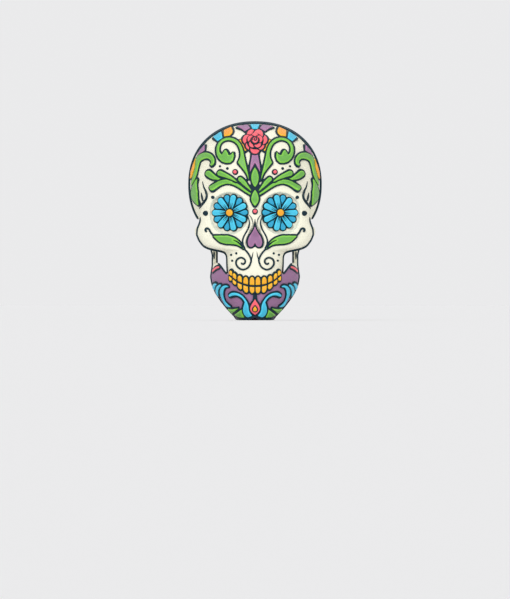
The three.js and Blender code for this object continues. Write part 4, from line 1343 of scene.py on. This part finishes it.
def streakPair(bearing, start, stop, gap):
    # two thin lines that part along a petal
    way = np.array([math.cos(bearing), math.sin(bearing)])
    aside = np.array([-way[1], way[0]])
    narrow, wide = flower["partShares"]
    pair = []
    for lean in (-1, 1):
        ends = [way * start + aside * lean * gap * narrow, way * stop + aside * lean * gap * wide]
        middle = (ends[0] + ends[1]) / 2 + aside * lean * flower["bow"]
        pair.append(ribbon([ends[0], middle, ends[1]], flower["streakHalves"], 14, 5))
    return pair


for word, side in sides:
    socket = socketSurface(side)
    eye = word + "_eye_"
    step = 2 * math.pi / flower["petals"]
    outward = 0 if side > 0 else math.pi
    frontTurns = [outward + step * i for i in range(flower["petals"])]
    rearTurns = [turn + step / 2 for turn in frontTurns]
    front = [petal(turn, **flower["front"]) for turn in frontTurns]
    rear = [petal(turn, **flower["rear"]) for turn in rearTurns]
    frontStreaks = [line for turn in frontTurns for line in streakPair(turn, **flower["frontStreaks"])]
    rearStreaks = [line for turn in rearTurns for line in streakPair(turn, **flower["rearStreaks"])]
    flowerPieces = [
        # name, layer, finish, shapes, cutters, node
        ("backing_iced", "backing", "ink", front + rear + [circle((0, 0), flower["disc"])], [], "backing"),
        ("outer_petals_iced", "rear", "deepBlue", rear, front, "outer_petals"),
        ("petal_shadow", "shadow", "ink", front, [], None),
        ("inner_petals_iced", "front", "lightBlue", front, [], "inner_petals"),
        ("streaks", "frontStreaks", "ink", frontStreaks, [], None),
        ("rear_streaks", "rearStreaks", "ink", rearStreaks, [], None),
        ("ring", "ring", "ink", [circle((0, 0), flower["ring"])], [], None),
        ("button_iced", "button", "orange", [circle((0, 0), flower["button"])], [], "button"),
    ]
    for name, layer, finish, shapes, cutters, node in flowerPieces:
        nodes = [eye + node] if node else []
        ice(eye + name, finish, "skull", shapes, socket, nodes=nodes, cutters=cutters, **flowerLayers[layer])
print("stage: eye flowers")

# nose: a heart with its point up, sunk in its recess
nose = {
    "half": 7.9,
    "tip": 103.6,
    "tipHandle": 98.5,
    "shoulder": 92.5,
    "lobe": 85.6,
    "footHandle": 78.6,
    "notch": 86.3,
    "handleShare": 0.12,
    "backing": {"low": -2.7, "high": -1.0, "rim": 2.0, "rounding": 0.7},
    "heart": {"low": -1.3, "high": 0.4, "rounding": 1.6, "voxel": 0.45},
}


def heart():
    half, lobe, foot = nose["half"], nose["lobe"], nose["footHandle"]
    inner = half * nose["handleShare"]
    flank = [(0, nose["tip"]), (inner, nose["tipHandle"]), (half, nose["shoulder"]), (half, lobe)]
    below = [(half, lobe), (half, foot), (inner, foot), (0, nose["notch"])]
    right = bezier([flank, below])
    return np.vstack([right, [[0, nose["notch"]]], onSide(right[1:], -1)])


ice("nose_backing_iced", "ink", "skull", [heart()], onCheeks, nodes=["nose_backing"], **nose["backing"])
ice("nose_heart_iced", "purple", "skull", [heart()], onCheeks, nodes=["nose_heart"], **nose["heart"])
print("stage: nose")

# strokes on the face, each by its line and its half-widths along it
noseLine = [(9.4, 116.6), (7.8, 112.6), (6.4, 107.1), (7.8, 100.5), (11.9, 92.9), (13.6, 87.8), (13.2, 82.8)]
templeLine = [(58.2, 152.9), (56.8, 146.7), (54.6, 142.1), (53.4, 137.6), (54.3, 133.1), (57.8, 128.3)]
faceStrokes = [
    (noseLine, [0.3, 0.9, 0.95]),
    ([(6.8, 115.8), (3.6, 111.4), (2.6, 105.4)], [0.2, 0.6, 0.15]),
    ([(1.9, 75.7), (2.9, 70.5), (4.1, 66.4)], [0.15, 0.6, 0.8]),
]
templeStrokes = [
    (templeLine, [0.2, 1.15, 1.3]),
    ([(54.3, 133.1), (57.8, 128.3), (61.6, 123)], [1.3, 1.1, 0.5]),
    ([(59.6, 140.6), (58.9, 136.2), (57.9, 131.6)], [0.2, 0.95, 0.8]),
    ([(62.4, 133.6), (61.6, 131), (60.4, 128.2)], [0.2, 0.8, 0.6]),
]
strokePad = {"low": -0.3, "high": 0.9, "rounding": 0.7, "voxel": 0.35, "lip": 0.2}
lines = onBothSides([ribbon(line, halves, 60) for line, halves in faceStrokes])
lines.append(ribbon([(0, 111.2), (0, 107.5), (0, 104.1)], [0.3, 0.7, 1.3], 24))
ice("face_strokes", "ink", "skull", lines, onCheeks, **strokePad)
lines = onBothSides([ribbon(line, halves, 60) for line, halves in templeStrokes])
ice("temple_strokes", "ink", "skull", lines, onForehead, **strokePad)
print("stage: strokes")


# cut-outs of the forehead, right side or middle, on the front view
def loop(*runs):
    # a closed outline of smooth runs that meet at corners
    return np.vstack([curveThrough(run, 26)[:-1] for run in runs])


rose = {
    "centre": (0, 197.0),
    "outer": {"distance": 8.6, "radius": 5.2},
    "lower": {"distance": 7.6, "radius": 4.3},  # the two outer petals that point down and aside
    "middle": {"distance": 4.7, "radius": 3.7},
    "heart": 3.3,
}


def rosePetal(turn, distance, radius):
    # turn is a share of the way round from the top
    bearing = turn * 2 * math.pi + math.pi / 2
    place = (distance * math.cos(bearing), rose["centre"][1] + distance * math.sin(bearing))
    return circle(place, radius, 32)


rosePetals = [rosePetal((i + 0.5) / 7, **rose["lower" if i in (2, 4) else "outer"]) for i in range(7)]
centreLeaves = [
    loop([(0, 168.2), (2.6, 163.8), (4.1, 157.4), (3.0, 150.8), (0, 145.9)]),
    loop([(0, 143.5), (2.7, 139.4), (4.1, 133.6), (3.0, 129), (0, 125.6)]),
]
centreLeaves = [np.vstack([leaf, onSide(leaf[1:], -1)]) for leaf in centreLeaves]
budRight = [(2.9, 186), (3.7, 179.4), (4.9, 173.2), (5.5, 167.5), (5.75, 162.6)]
budInner = [(5.75, 162.6), (3.9, 166.1), (2.0, 169.5), (0, 173.2)]
budHalf = loop(budRight, budInner)
bud = np.vstack([budHalf, budInner[-1:], onSide(budHalf[1:], -1), onSide(budRight[:1], -1)])
scroll = loop(
    [(6.6, 153.8), (7.7, 161.3), (9.4, 168.1), (11.1, 176), (12.3, 181.6), (13.3, 187.3), (15.4, 192.9)]
    + [(18.8, 197.4), (23.5, 200.3), (29.2, 201.3), (34.8, 200), (39.2, 196.8), (41.9, 192.3)]
    + [(42.7, 187.3), (41.9, 181.6)]
    + [(39.3, 177.1), (35.9, 174.3), (30.3, 172.9), (26.4, 174), (24.1, 177.1), (23.4, 181.1), (24.1, 185.3)],
    [(24.1, 185.3), (26.4, 182.5), (29.2, 181.7)],
    [(29.2, 181.7), (30.6, 185), (32.8, 187.6), (35, 185), (36.4, 182.2)],
    [(36.4, 182.2), (38.7, 184), (39.7, 187.3), (39.2, 191.8), (36.9, 196), (33.1, 198.2), (28.6, 198.8)]
    + [(23.7, 197.2), (19.8, 194), (17.2, 189), (16.1, 184.4), (16.5, 178.8), (18.9, 173.6)],
    [(18.9, 173.6), (16.2, 170.1), (12.3, 165.1), (9.3, 160.6), (6.6, 153.8)],
)
longFan = [(5.2, 138.9), (10.6, 142.3), (16.8, 146.8), (23.5, 150.6), (30.9, 152.4), (38.2, 150.9)]
longFan.append((47.6, 145.6))
fans = [
    ribbon([(4.6, 142.7), (9.4, 148), (13.6, 152.6), (16.4, 155.1)], [0.5, 1.4, 2.3, 2.3]),
    ribbon([(20.2, 152.3), (24.7, 155.2), (30.3, 158.2), (38.8, 161.7)], [0.4, 1.5, 2.2, 2.8]),
    ribbon(longFan, [0.9, 1.3, 1.9, 2.6, 2.6]),
    ribbon([(37, 155.2), (41, 155.6), (46.8, 158), (51.6, 161.4)], [0.3, 1.6, 2.9, 3.2]),
]
orangeTile = [(34.6, 209.4), (26.3, 213.3), (24.7, 209.0), (25.4, 206.4), (28.4, 203.6), (34.3, 202.9)]
tiles = [
    # number from the left, finish, corners: tile 5 is in the middle, and the others have twins on the left
    (5, "lightBlue", [(-5.2, 216.1), (-2.8, 211.2), (2.8, 211.2), (5.2, 216.1)]),
    (6, "purple", [(19.9, 213.9), (8.3, 215.8), (5.3, 212.0), (11.4, 208.6), (15.1, 211.6)]),
    (7, "orange", orangeTile),
    (8, "lightBlue", [(46.4, 202.2), (37.5, 208.2), (36.8, 205.6), (36.1, 201.4), (41.6, 197.6)]),
    (9, "purple", [(56.0, 193.3), (56.0, 187.3), (59.4, 184.9), (64.0, 181.1), (61.2, 187.5)]),
]
cutOuts = [
    # name, node, finish, shapes, holder of the dark rim: the rose has no finish, as its rings come later
    ("rose", None, None, rosePetals, "forehead_backing"),
    ("centre_leaf_iced", "centre_leaf", "green", centreLeaves, "forehead_backing"),
    ("bud_iced", "bud", "purple", [bud], "forehead_backing"),
]


def addPairOfCutOuts(stem, shapes, holder):
    for word, side in sides:
        node = word + stem
        cutOuts.append((node + "_iced", node, "green", allOnSide(shapes, side), holder))


addPairOfCutOuts("_scroll", [scroll], "forehead_backing")
addPairOfCutOuts("_fan", fans, "forehead_backing")
vine = {
    "hook": [(48.4, 171.4), (46.9, 173.4), (47.3, 177.1), (50.4, 180.6), (55.1, 181.5), (60.2, 179.6)]
    + [(63, 176.2), (64, 171.5), (65.3, 165.3), (67.4, 157.9), (70.4, 149.5)],
    "hookHalves": [1.2, 2.0, 2.8, 3.3, 3.1, 2.2, 1.5, 1.5, 1.7, 1.3, 0.3],
    "leaf": [(64.6, 155), (66.6, 149), (67.2, 141), (66.4, 134), (63.4, 127)],
    "leafHalves": [0.4, 2.2, 3.5, 3.0, 0.5],
    "sliver": [(65.7, 178.2), (66.8, 172), (69.0, 164), (71.4, 156.4)],
    "sliverHalves": [0.3, 1.7, 1.9, 0.3],
}
vineShapes = [ribbon(vine["hook"], vine["hookHalves"], 80), ribbon(vine["leaf"], vine["leafHalves"], 60)]
addPairOfCutOuts("_temple_vine", vineShapes, "crown_backing")
slivers = onBothSides([ribbon(vine["sliver"], vine["sliverHalves"])])
cutOuts.append(("temple_slivers", None, "orange", slivers, "crown_backing"))
roseSliver = ribbon([(16.4, 198.3), (14.4, 194.6), (12.0, 190.4), (10.6, 187.4)], [0.9, 0.8, 0.7, 0.9])
cutOuts.append(("rose_slivers", None, "orange", onBothSides([roseSliver]), "forehead_backing"))
for number, finish, corners in tiles:
    node = "crown_tile_" + str(number)
    cutOuts.append((node + "_iced", node, finish, allOnSide([corners], 1), "crown_backing"))
    if number > 5:
        node = "crown_tile_" + str(10 - number)
        cutOuts.append((node + "_iced", node, finish, allOnSide([corners], -1), "crown_backing"))

foreheadAim = 2.2
foreheadPad = {"low": 1.2, "high": 2.7, "rounding": 1.4, "voxel": 0.48, "gap": 1.7, "aim": foreheadAim}
backingPad = {"low": 0.1, "high": 1.6, "rim": 1.9, "rounding": 0.7, "voxel": 0.55, "melted": True}
backingPad["aim"] = foreheadAim
crownLine = {"endAngle": 58, "share": 0.974, "halves": [0.15, 0.5, 0.55, 0.55, 0.5, 0.15]}
crownLine["pad"] = {"low": 0.1, "high": 1.5, "rounding": 0.7, "aim": 0}
fanBridge = ribbon([(-5, 146.6), (0, 145.4), (5, 146.6)], [1.0], 24)  # dark icing between the two fans
taken = []
dark = {"forehead_backing": [], "crown_backing": []}
for name, node, finish, shapes, holder in cutOuts:
    dark[holder] += shapes
    if finish:
        pads = []
        for shape in shapes:
            pads.append(addIcing([shape], onForehead, cutters=taken, **foreheadPad))
            taken.append(shape)
        dress(joinAll(pads, name), finish, "skull", [node] if node else [])
    else:
        taken += shapes
dark["forehead_backing"].append(fanBridge)
crownTurns = [math.radians(a) for a in np.linspace(-crownLine["endAngle"], crownLine["endAngle"], 9)]
crownShape = ribbon([crownPlace(a, crownLine["share"]) for a in crownTurns], crownLine["halves"], 120)
for node, shapes in dark.items():
    pads = [addIcing(shapes, onForehead, **backingPad)]
    if node == "crown_backing":
        pads.append(addIcing([crownShape], onForehead, **crownLine["pad"]))
    dress(joinAll(pads, node + "_iced"), "ink", "skull", [node])
print("stage: head cut-outs")

# rose: three rings of cupped petals with ink between them
middlePetals = [rosePetal(i / 5, **rose["middle"]) for i in range(5)]
roseRings = [
    # name, petals, low, high, radius of the disc that covers the inner ends
    ("outer", rosePetals, 1.2, 3.0, 7.9),
    ("middle", middlePetals, 2.7, 4.4, 3.7),
    ("heart", [circle(rose["centre"], rose["heart"])], 4.1, 5.6, None),
]
roseShadow = {"rim": 1.2, "rounding": 0.5, "voxel": 0.4, "melted": True, "aim": foreheadAim}
rosePad = {"rounding": 1.5, "voxel": 0.36, "gap": 1.25, "aim": foreheadAim}
shadowDrop, shadowRise = 1.2, 0.3  # ink under a ring of petals, below and above its foot
for ringName, shapes, low, high, covered in roseRings:
    node = "rose_" + ringName
    if ringName != "outer":
        span = (low - shadowDrop, low + shadowRise)
        ice(node + "_shadow", "ink", "skull", shapes, onForehead, *span, **roseShadow)
    pads = []
    for i, shape in enumerate(shapes):
        cutters = shapes[i + 1 :] + ([circle(rose["centre"], covered)] if covered else [])
        pads.append(addIcing([shape], onForehead, low, high, cutters=cutters, **rosePad))
    dress(joinAll(pads, node + "_iced"), "red", "skull", [node])
whorl = {"start": 0.4, "halfTurns": 2.7, "inner": 0.5, "growth": 2.3, "halves": [0.5, 0.65, 0.4]}
whorl["pad"] = {"low": 5.0, "high": 6.0, "rounding": 0.5, "voxel": 0.25, "aim": foreheadAim}
line = []
for turn in np.linspace(0, 1, 12):
    bearing = math.pi * (whorl["start"] + whorl["halfTurns"] * turn)
    radius = whorl["inner"] + whorl["growth"] * turn
    line.append((radius * math.cos(bearing), rose["centre"][1] + radius * math.sin(bearing)))
ice("rose_whorl", "ink", "skull", [ribbon(line, whorl["halves"], 60, 6)], onForehead, **whorl["pad"])
print("stage: rose")

# beads and dots
bead = {
    "radius": 1.95,
    "ringRadius": 3.4,
    "browShare": 0.543,  # of the skull's height
    "foreheadShare": 0.741,
    "foreheadX": 21.83,
    "ring": {"low": -0.1, "high": 1.2, "rounding": 1.0, "voxel": 0.4},
    "ball": {"low": 0.6, "high": 2.6, "rounding": 1.8, "voxel": 0.32},
}
redBeads = [((0, bead["browShare"] * skullHeight), "brow_bead")]
for word, side in sides:
    place = (side * bead["foreheadX"], bead["foreheadShare"] * skullHeight)
    redBeads.append((place, word + "_forehead_bead"))
for centre, node in redBeads:
    ice(node + "_ring", "ink", "skull", [circle(centre, bead["ringRadius"])], onForehead, **bead["ring"])
    shapes = [circle(centre, bead["radius"])]
    ice(node + "_iced", "red", "skull", shapes, onForehead, nodes=[node], **bead["ball"])
smallDot = {"low": -0.3, "high": 1.0, "rounding": 1.2, "voxel": 0.35}
largeDot = {"low": -0.3, "high": 1.2, "rounding": 1.8, "voxel": 0.4}
dotGroups = [
    # name, surface, pad, x, z and radius of each dot
    ("brow_dots", onForehead, smallDot, [(38.8, 169.5, 1.3), (30.6, 167, 1.6), (46.7, 135.3, 2.0)]),
    ("cheek_dots", onCheeks, smallDot, [(26.6, 71.7, 1.25), (20.8, 73.4, 1.3), (25.4, 65.4, 1.25)]),
    ("temple_dots", onCheeks, largeDot, [(54.7, 117.6, 2.9)]),
]
for name, surface, pad, dots in dotGroups:
    shapes = [circle((side * x, z), radius) for x, z, radius in dots for _, side in sides]
    ice(name, "ink", "skull", shapes, surface, **pad)
print("stage: beads and dots")

# cheek leaves, their tails, and the spirals on the lip
cheek = {
    "leaf": [(12.6, 78.9), (16.5, 83.0), (22, 86.4), (29, 88.2), (36.5, 89.2), (44.9, 92.2)],
    "leafHalves": [0.3, 1.9, 3.7, 4.6, 3.6, 0.6],
    "vein": [(24.2, 88.1), (20, 86.4), (16.2, 83.4), (13.4, 80.2)],
    "veinHalves": [0.15, 0.6, 0.7],
    "tail": [(45.5, 92.2), (49.0, 96.6), (51.4, 100.4), (53.9, 101.2), (55.4, 99.2), (54.1, 97.6)],
    "tailHalves": [0.2],
    "spiral": [(13, 79.2), (7.8, 73.8), (5.0, 68.6), (4.5, 64.2), (7.4, 58.2), (13, 55.6), (18, 57.4)]
    + [(21, 61.6), (20.6, 65.8), (17.6, 68.3), (14.2, 68.5), (11.3, 66.4), (11.1, 63.4), (13.4, 61.6)]
    + [(15.7, 62.7)],
    "spiralHalves": [0.1],
    "leafRim": 1.0,  # on top of the rim that the backing gives to all of them
    "pad": {"low": 1.1, "high": 2.5, "rounding": 1.3, "voxel": 0.42, "gap": 0.2, "aim": 1.5},
}
cheek["backing"] = {"low": -0.1, "high": 1.3, "rim": 0.9, "rounding": 0.8, "voxel": 0.42, "melted": True}
cheek["backing"]["aim"] = cheek["pad"]["aim"]
for word, side in sides:
    leaf = onSide(ribbon(cheek["leaf"], cheek["leafHalves"], 70), side)
    tail = onSide(ribbon(cheek["tail"], cheek["tailHalves"], 60), side)
    spiral = onSide(ribbon(cheek["spiral"], cheek["spiralHalves"], 150), side)
    vein = onSide(ribbon(cheek["vein"], cheek["veinHalves"]), side)
    node, shapes = word + "_cheek_backing", [grown(evenly(leaf), cheek["leafRim"]), tail, spiral]
    ice(node + "_iced", "ink", "skull", shapes, onCheeks, nodes=[node], **cheek["backing"])
    node = word + "_cheek_leaf"
    ice(node + "_iced", "green", "skull", [leaf], onCheeks, nodes=[node], cutters=[vein], **cheek["pad"])
print("stage: cheeks")

# cut-outs of the jaw
drop = bezier(
    [
        [(0, 23.1), (1.2, 20.2), (5.4, 16.2), (5.4, 12.3)],
        [(5.4, 12.3), (5.4, 9.2), (2.2, 7.0), (0, 5.4)],
        [(0, 5.4), (-2.2, 7.0), (-5.4, 9.2), (-5.4, 12.3)],
        [(-5.4, 12.3), (-5.4, 16.2), (-1.2, 20.2), (0, 23.1)],
    ]
)
innerDrop = bezier(
    [
        [(0, 15.7), (0.5, 14.2), (2.1, 13.6), (2.1, 11.9)],
        [(2.1, 11.9), (2.1, 9.3), (-2.1, 9.3), (-2.1, 11.9)],
        [(-2.1, 11.9), (-2.1, 13.6), (-0.5, 14.2), (0, 15.7)],
    ]
)
wave = loop(
    [(26.8, 14.1), (31.6, 15), (35.8, 21.9), (38.4, 28.5), (38.2, 34.2), (35.6, 37.3), (31.6, 38)]
    + [(29.5, 36.4)],
    [(29.5, 36.4), (33.2, 35.6), (35.0, 32.4), (35.3, 26.7), (33.2, 20.3), (29.8, 16.4), (26.8, 14.1)],
)
secondWave = loop(
    [(40.6, 25.8), (42.6, 29.1), (43.5, 32.6), (42.4, 36.8), (38.8, 39.2), (37.9, 37.7)],
    [(37.9, 37.7), (40.1, 34.6), (41.1, 30.9), (40.6, 25.8)],
)
thirdWave = loop(
    [(45.3, 32.6), (47.0, 36.4), (46.6, 39), (44.5, 40.3), (42.6, 39.2)],
    [(42.6, 39.2), (44.1, 37.2), (45.3, 32.6)],
)
curl = loop(
    [(3.1, 4.5), (6.2, 8.7), (7.6, 16.5), (10.2, 21.9), (14.8, 27.1), (20.8, 29.8), (26.2, 29.8)]
    + [(29.4, 27.3)],
    [(29.4, 27.3), (28.4, 25.6), (23.8, 27), (19, 26.7), (14.2, 23.9), (11.3, 19.5)],
    [(11.3, 19.5), (12.8, 14.7), (13.3, 9.9), (11.4, 5.3), (7.7, 2.9), (3.1, 4.5)],
)
chinLeaves = [
    np.array([(30.2, 12.2), (26, 11.4), (18.6, 12.7), (22.6, 9.6), (25.4, 7.0)]),
    np.array([(15.1, 11.4), (14.3, 7.4), (12.0, 2.7), (18.2, 3.2), (22.9, 5.6)]),
]
jawAim = 2.2
jawPads = {
    "cutOut": {"low": 1.2, "high": 2.6, "rounding": 1.2, "voxel": 0.42, "gap": 1.5, "aim": jawAim},
    "backing": {"low": 0.0, "high": 1.6, "rim": 1.9, "rounding": 0.7, "voxel": 0.5, "melted": True},
    "beadRing": {"low": 2.0, "high": 3.2, "rim": 1.3, "rounding": 0.6, "voxel": 0.35, "aim": jawAim},
    "bead": {"low": 2.8, "high": 4.2, "rounding": 1.5, "voxel": 0.3, "aim": jawAim},
    "bandRim": {"low": -0.1, "high": 0.7, "rim": 1.8, "rounding": 0.6, "voxel": 0.4},
    "band": {"low": 0.4, "high": 1.4, "rounding": 0.8, "voxel": 0.35},
}
jawCutOuts = [("chin_drop", "red", [drop])]
for stem, shapes, finish in (
    ("_jaw_curl", [curl], "lightBlue"),
    ("_jaw_wave", [wave, secondWave, thirdWave], "lightBlue"),
    ("_chin_leaf", chinLeaves, "green"),
):
    jawCutOuts += [(word + stem, finish, allOnSide(shapes, side)) for word, side in sides]
taken = []
for node, finish, shapes in jawCutOuts:
    ice(node + "_iced", finish, "jaw", shapes, onJaw, nodes=[node], cutters=list(taken), **jawPads["cutOut"])
    taken += shapes
dropStem = ribbon([(0, 21), (0, 25), (0, 27.5)], [1.2, 0.5, 0.2], 20)
shapes = taken + [dropStem]
ice("jaw_backing_iced", "ink", "jaw", shapes, onJaw, nodes=["jaw_backing"], aim=jawAim, **jawPads["backing"])
ice("chin_bead_ring", "ink", "jaw", [innerDrop], onJaw, **jawPads["beadRing"])
ice("chin_bead_iced", "orange", "jaw", [innerDrop], onJaw, nodes=["chin_bead"], **jawPads["bead"])
band = loop(
    [(46.9, 52.6), (46.5, 55.2), (44.4, 57.6), (41.4, 59.2), (39.4, 59.2)],
    [(39.4, 59.2), (39.2, 57.6)],
    [(39.2, 57.6), (43.0, 56.0), (46.9, 52.6)],
)
for word, side in sides:
    node, shapes = word + "_jaw_band", [onSide(band, side)]
    ice(node + "_rim", "ink", "jaw", shapes, onJaw, **jawPads["bandRim"])
    ice(node + "_iced", "red", "jaw", shapes, onJaw, nodes=[node], **jawPads["band"])
print("stage: jaw cut-outs")


# piped ink lines along the edges that show from the front
cheekLine = {"top": 114, "cornerTop": 80, "cornerFoot": 72, "foot": 50, "inset": 1.45, "radii": (1.7, 1.7)}
jawLine = {
    "top": 79,
    "sideFoot": 4,
    "outset": 0.6,  # over the valley's floor
    "foot": 1.75,
    "lowest": 1.7,
    "cleft": 4.0,
    "cleftHalf": 5.2,
    "ahead": 1.2,  # of the jaw's front
    "radii": (1.6, 1.6),
    "rounded": 1.8,
}


def cheekContour(side):
    # finer steps round the corner under the cheekbone
    corner = np.arange(cheekLine["cornerTop"], cheekLine["cornerFoot"], -0.5)
    above = np.arange(cheekLine["top"], cheekLine["cornerTop"], -1.0)
    below = np.arange(cheekLine["cornerFoot"], cheekLine["foot"], -1.0)
    route = []
    for z in np.concatenate([above, corner, below]):
        half = sectionAt(faceTable, z)[0]
        route.append((side * (half - cheekLine["inset"]), faceMiddle(z) + drawnShift, z))
    return curveThrough(route, 150)


def jawContour(side):
    # down the side, forward along the foot and up into the cleft under the chin
    bend, fullness, valley = jawForm["bend"], jawForm["fullness"], valleys["jaw"]
    route = []
    for z in np.arange(jawLine["top"], jawLine["sideFoot"], -1.0):
        half, front = sectionAt(jawTable, z)
        ahead = (bend - valley["line"]) / (bend - front)
        share = (1 - ahead**fullness) ** (1 / fullness)
        route.append((half * share - valley["dip"] + jawLine["outset"], valley["line"], z))
    half = sectionAt(jawTable, jawLine["foot"])[0]
    for share in np.linspace(0.98, 0.0, 24):
        x = half * share
        lift = max(0, 1 - (x / jawLine["cleftHalf"]) ** 2) * (jawLine["cleft"] - jawLine["foot"])
        z = jawLine["foot"] + lift
        y = jawFront(np.array([x]), np.array([z]))[0]
        route.append((x, y - jawLine["ahead"], z))
    route = np.array(route)
    return route * np.array([side, 1.0, 1.0]) + np.array([0, drawnShift, 0])


for word, side in sides:
    contour = addPiping(cheekContour(side), cheekLine["radii"], word + "_cheek_contour")
    dress(contour, "ink", "skull")
jawRoute = curveThrough(np.vstack([jawContour(-1), jawContour(1)[::-1][1:]]), 420)
jawRoute[:, 2] = np.maximum(jawRoute[:, 2], jawLine["lowest"])  # keeps the line off the table
contour = addPiping(jawRoute, jawLine["radii"], "jaw_contour", jawLine["rounded"])
dress(contour, "ink", "jaw")

# lines on the jaw's upright arms, and the rim between arm and teeth
ramus = {
    "front": [(62.9, -42.4), (72.6, -40.1), (79, -37.6)],  # height and Y of the arm's front edge
    "edge": {"x": 42.0, "foot": 62, "spacing": 1.0, "radii": (1.05, 1.05)},
    "streak": {"x": 45.1, "foot": 66.0, "spacing": 0.5, "radii": (1.05, 0.75), "rounded": 7.0},
    "top": 80,
    "rim": [(30.9, 50.6), (33.4, 53.4), (36.2, 57.2), (38.4, 60.2), (40.6, 62.6)],
    "rimRadii": (1.1, 1.1),
}


def ramusRoute(form, side):
    heights, depths = np.array(ramus["front"]).T
    rises = np.arange(form["foot"], ramus["top"], form["spacing"])
    return [(side * form["x"], np.interp(z, heights, depths) + drawnShift, z) for z in rises]


for word, side in sides:
    edge, streak = ramus["edge"], ramus["streak"]
    pipes = [addPiping(ramusRoute(edge, side), edge["radii"], word + "_ramus_edge")]
    route = ramusRoute(streak, side)
    pipes.append(addPiping(route, streak["radii"], word + "_ramus_streak", streak["rounded"]))
    x, z = curveThrough(ramus["rim"], 40).T
    route = np.stack([side * x, jawFront(x, z) + drawnShift, z], axis=1)
    pipes.append(addPiping(route, ramus["rimRadii"], word + "_jaw_rim"))
    dress(joinAll(pipes, word + "_ramus_lines"), "ink", "jaw")
print("stage: contours")
